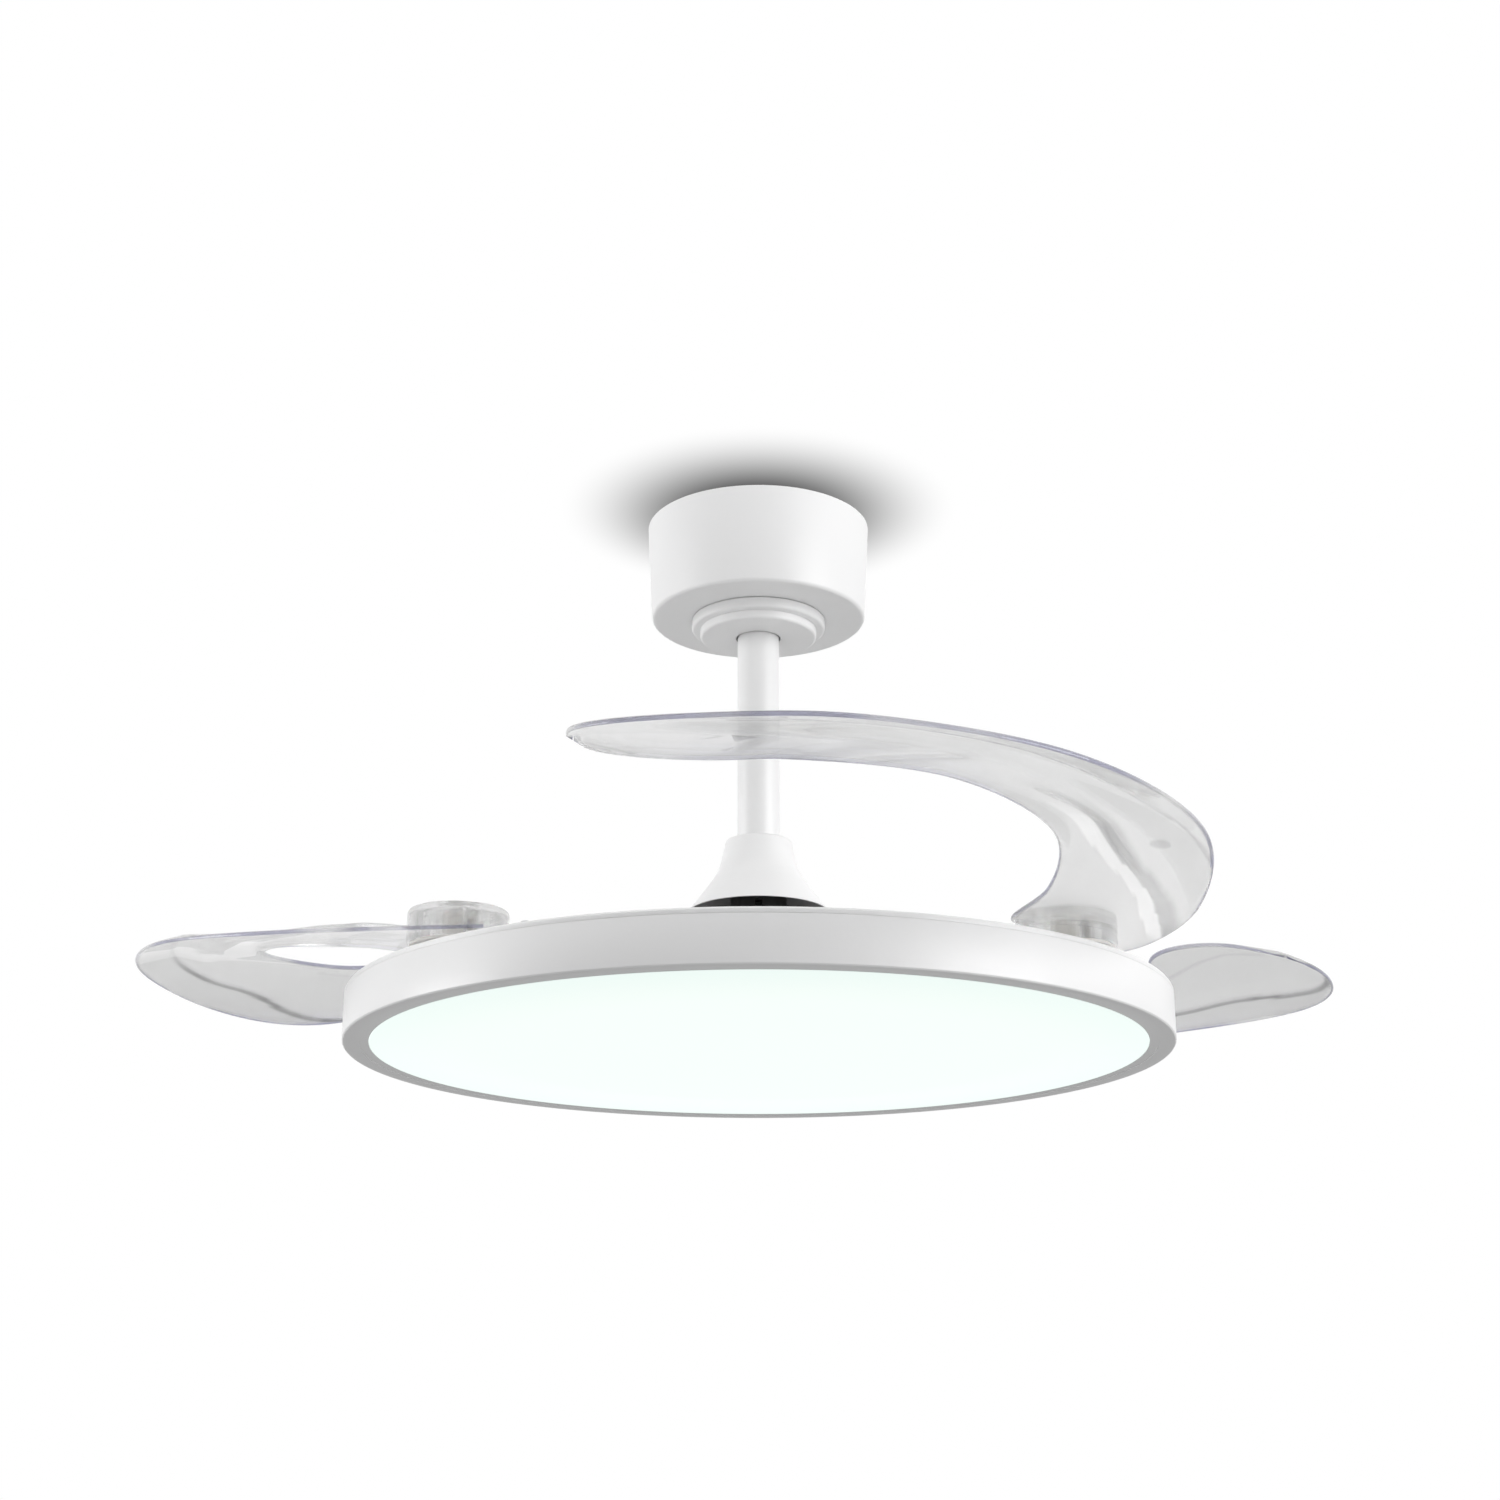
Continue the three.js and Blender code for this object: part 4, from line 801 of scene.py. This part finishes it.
first_blade = clear_blade()
from_pivot = Matrix.Translation((-PIVOT_R * MM, 0, 0))
for i, angle in enumerate(PIVOT_ANGLES):
    a = radians(angle)
    to_pivot = Matrix.Translation((PIVOT_R * cos(a) * MM, PIVOT_R * sin(a) * MM, -DROP * MM))
    turn = Matrix.Rotation(radians(angle + OPEN_ANGLE), 4, "Z")
    blade = twin(first_blade, f"clear_blade_{i + 1}", to_pivot @ turn @ from_pivot)
    stand_for(blade, f"blade_{i + 1}")
bpy.data.objects.remove(first_blade)

# ---------------------------------------------------------------- yoke

PIN_Z, SCREW_Z = 110, 86
SLIT = 4


def raised(height):
    """A move up to a height over the lamp's underside."""
    return Matrix.Translation((0, 0, (height - DROP) * MM))


yoke = turned("yoke_clamp", [
    (17.5, 77), (17.5, 122), (13.65, 122), (13.65, 97), (8.8, 97), (8.8, 76), (16.5, 76)],
    level=-DROP, steps=96, bevel=0.5)
pin_hole = plug("pin_hole", 3.3, -20, 20, 0, 0, 32)
moved(pin_hole, raised(PIN_Z) @ Matrix.Rotation(pi / 2, 4, "Y"))
boolean(yoke, pin_hole, "DIFFERENCE")
screw_hole = plug("screw_hole", 2.5, 0, 20, 0, 0, 24)
moved(screw_hole, raised(SCREW_Z) @ Matrix.Rotation(-pi / 2, 4, "X"))
boolean(yoke, screw_hole, "DIFFERENCE")
slit = plug("slit", SLIT / 2 ** 0.5, 75 - DROP, 94 - DROP, 0, 0, 4)
stretch = Matrix.Translation((0, -10 * MM, 0)) @ Matrix.Diagonal((1, 5, 1, 1))
moved(slit, stretch @ Matrix.Rotation(pi / 4, 4, "Z"))
boolean(yoke, slit, "DIFFERENCE")
stand_for(smooth(clean(yoke)), "yoke")

# ---------------------------------------------------------------- small turned pieces


def on_axis_of(node, obj):
    """Moves a piece turned round Z onto the axis of a CAD node."""
    low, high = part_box(node)
    return moved(obj, Matrix.Translation(((low[0] + high[0]) / 2, (low[1] + high[1]) / 2, 0)))


def pan_head(radius, height, shank, under, reach):
    """The outline of a screw that points down, with a domed head above."""
    dome = []
    for a in range(0, 90, 15):
        dome.append((radius * cos(radians(a)), under + height * (0.25 + 0.75 * sin(radians(a)))))
    foot = [(0, under - reach), (shank, under - reach), (shank, under), (radius, under)]
    return [*foot, *dome, (0, under + height)]


TURNED = {  # outline as (radius, height), then the radius, foot and top of the driver's socket
    "pivot_bolt": (
        [(0, 33), (4.9, 33), (4.9, 35.8), (8, 35.8), (8, 36.8), (4.9, 36.8), (4.9, 62.3), (8.4, 62.3),
         (8.4, 63.9), (0, 63.9)], (2.6, 62.5, 65)),
    "ring_guide": (
        [(0, 33), (1.9, 33), (1.9, 35.8), (4.5, 35.8), (4.5, 41.3), (7.5, 41.3), (7.5, 42.8), (0, 42.8)],
        (1.6, 41.6, 44)),
    "stop_bumper": ([(0, 33), (1.9, 33), (1.9, 35.8), (4, 35.8), (4, 41), (3.2, 41.8), (0, 41.8)], None),
    "lamp_screw": (pan_head(3, 1.7, 1.6, 30.3, 3.6), (1.1, 31, 33)),
    "rotor_screw": (pan_head(2.8, 1.8, 1.5, 38.3, 5.3), (1.1, 39.1, 41)),
}

for kind, (profile, socket) in TURNED.items():
    pattern = turned(kind, profile, level=-DROP, steps=48, bevel=0.25)
    if socket:
        radius, foot, top = socket
        boolean(pattern, plug("socket", radius, foot - DROP, top - DROP, 0, 0, 6), "DIFFERENCE")
        smooth(clean(pattern))
    for node in [name for name in slot_of if name.startswith(kind)]:
        stand_for(on_axis_of(node, twin(pattern, f"{node}_turned", Matrix.Identity(4))), node)
    bpy.data.objects.remove(pattern)

# ---------------------------------------------------------------- stage and light


class Tree(Shader):
    """The nodes of a stage material or of the world."""

    def __init__(self, owner):
        owner.use_nodes = True
        self.tree = owner.node_tree
        self.tree.nodes.clear()
        path = self.node("ShaderNodeLightPath")
        self.camera = path.out("Is Camera Ray")
        self.glossy = path.out("Is Glossy Ray")
        self.through = path.out("Is Transmission Ray")

    def blend(self, factor, first, second):
        return self.node("ShaderNodeMix", {"data_type": "FLOAT"}, {0: factor, 2: first, 3: second}).out()

    def seen(self, diffuse, glossy, through, camera):
        """A strength for each kind of ray."""
        bounced = self.blend(self.through, self.blend(self.glossy, diffuse, glossy), through)
        return self.blend(self.camera, bounced, camera)

    def position(self):
        return self.split(self.node("ShaderNodeNewGeometry").out("Position"))

    def glow(self, level, strength):
        """Light of a grey level."""
        colour = self.node("ShaderNodeCombineColor", {}, {0: level, 1: level, 2: level}).out()
        return self.node("ShaderNodeEmission", {}, {"Color": colour, "Strength": strength}).out()


BACKDROP_SIZE = 60


def backdrop(name, height, turn, paint):
    """A wide plane of light, which casts no shadow."""
    deselect()
    bpy.ops.mesh.primitive_plane_add(size=BACKDROP_SIZE, location=(0, 0, height), rotation=(turn, 0, 0))
    obj = bpy.context.object
    obj.name = name
    obj.visible_shadow = False
    obj.visible_diffuse = False
    material = bpy.data.materials.new(name)
    tree = Tree(material)
    tree.node("ShaderNodeOutputMaterial", {}, {"Surface": paint(tree)})
    obj.data.materials.append(material)


def ceiling_paint(tree):
    """White with the canopy's soft shade on it, deeper towards the viewer, and clear from above."""
    x, y, _z = tree.position()
    shade = tree.between(length(x, y + 0.025), 0.02, 0.13)
    glow = tree.glow(1 - (1 - shade) * tree.camera, tree.seen(0.42, 0.9, 1.0, 1.0))
    clear = tree.node("ShaderNodeBsdfTransparent").out()
    from_above = tree.node("ShaderNodeNewGeometry").out("Backfacing")
    return tree.node("ShaderNodeMixShader", {}, {0: from_above, 1: glow, 2: clear}).out()


def floor_paint(tree):
    """Pale grey under the object, and white far away, where it meets the white surroundings."""
    x, y, _z = tree.position()
    cloud = tree.node("ShaderNodeTexNoise", {}, {"Scale": 1.2}).out()
    pale = tree.blend(tree.between(length(x, y), 2.0, 14.0), 0.9 + cloud * 0.02, 1.0)
    return tree.glow(pale, tree.seen(0.42, 0.55, 0.85, 1.0))


backdrop("ceiling", 0.0004, pi, ceiling_paint)
backdrop("floor", -3.2, 0, floor_paint)

world = bpy.context.scene.world or bpy.data.worlds.new("studio")
bpy.context.scene.world = world
sky = Tree(world)
_x, _y, rise = sky.split(sky.node("ShaderNodeTexCoord").out("Generated"))
low = 0.6 + sky.between(rise, -0.4, 0.0) * 0.4
strength = sky.seen(0.4, low * 0.9, 1.0, 1.0)
surface = sky.node("ShaderNodeBackground", {}, {"Color": (1, 1, 1, 1), "Strength": strength}).out()
sky.node("ShaderNodeOutputWorld", {}, {"Surface": surface})

LIGHT_AIM = Vector((0, 0, -0.25))
LIGHT_DISTANCE = 2.4


def soft_light(name, azimuth, elevation, size, power):
    """A softbox round the object: azimuth from the front towards +X."""
    a, e = radians(azimuth), radians(elevation)
    place = Vector((sin(a) * cos(e), -cos(a) * cos(e), sin(e))) * LIGHT_DISTANCE + LIGHT_AIM
    deselect()
    bpy.ops.object.light_add(type="AREA", location=place)
    light = bpy.context.object
    light.name = name
    light.data.shape = "RECTANGLE"
    light.data.size, light.data.size_y = size
    light.data.energy = power
    light.rotation_euler = (LIGHT_AIM - place).to_track_quat("-Z", "Y").to_euler()


soft_light("right", 58, 9, (1.5, 1.5), 41)
soft_light("left", -84, 9, (1.2, 1.5), 36)
soft_light("back", 175, 28, (1.6, 1.2), 34)
soft_light("top", 20, 80, (1.6, 1.6), 20)
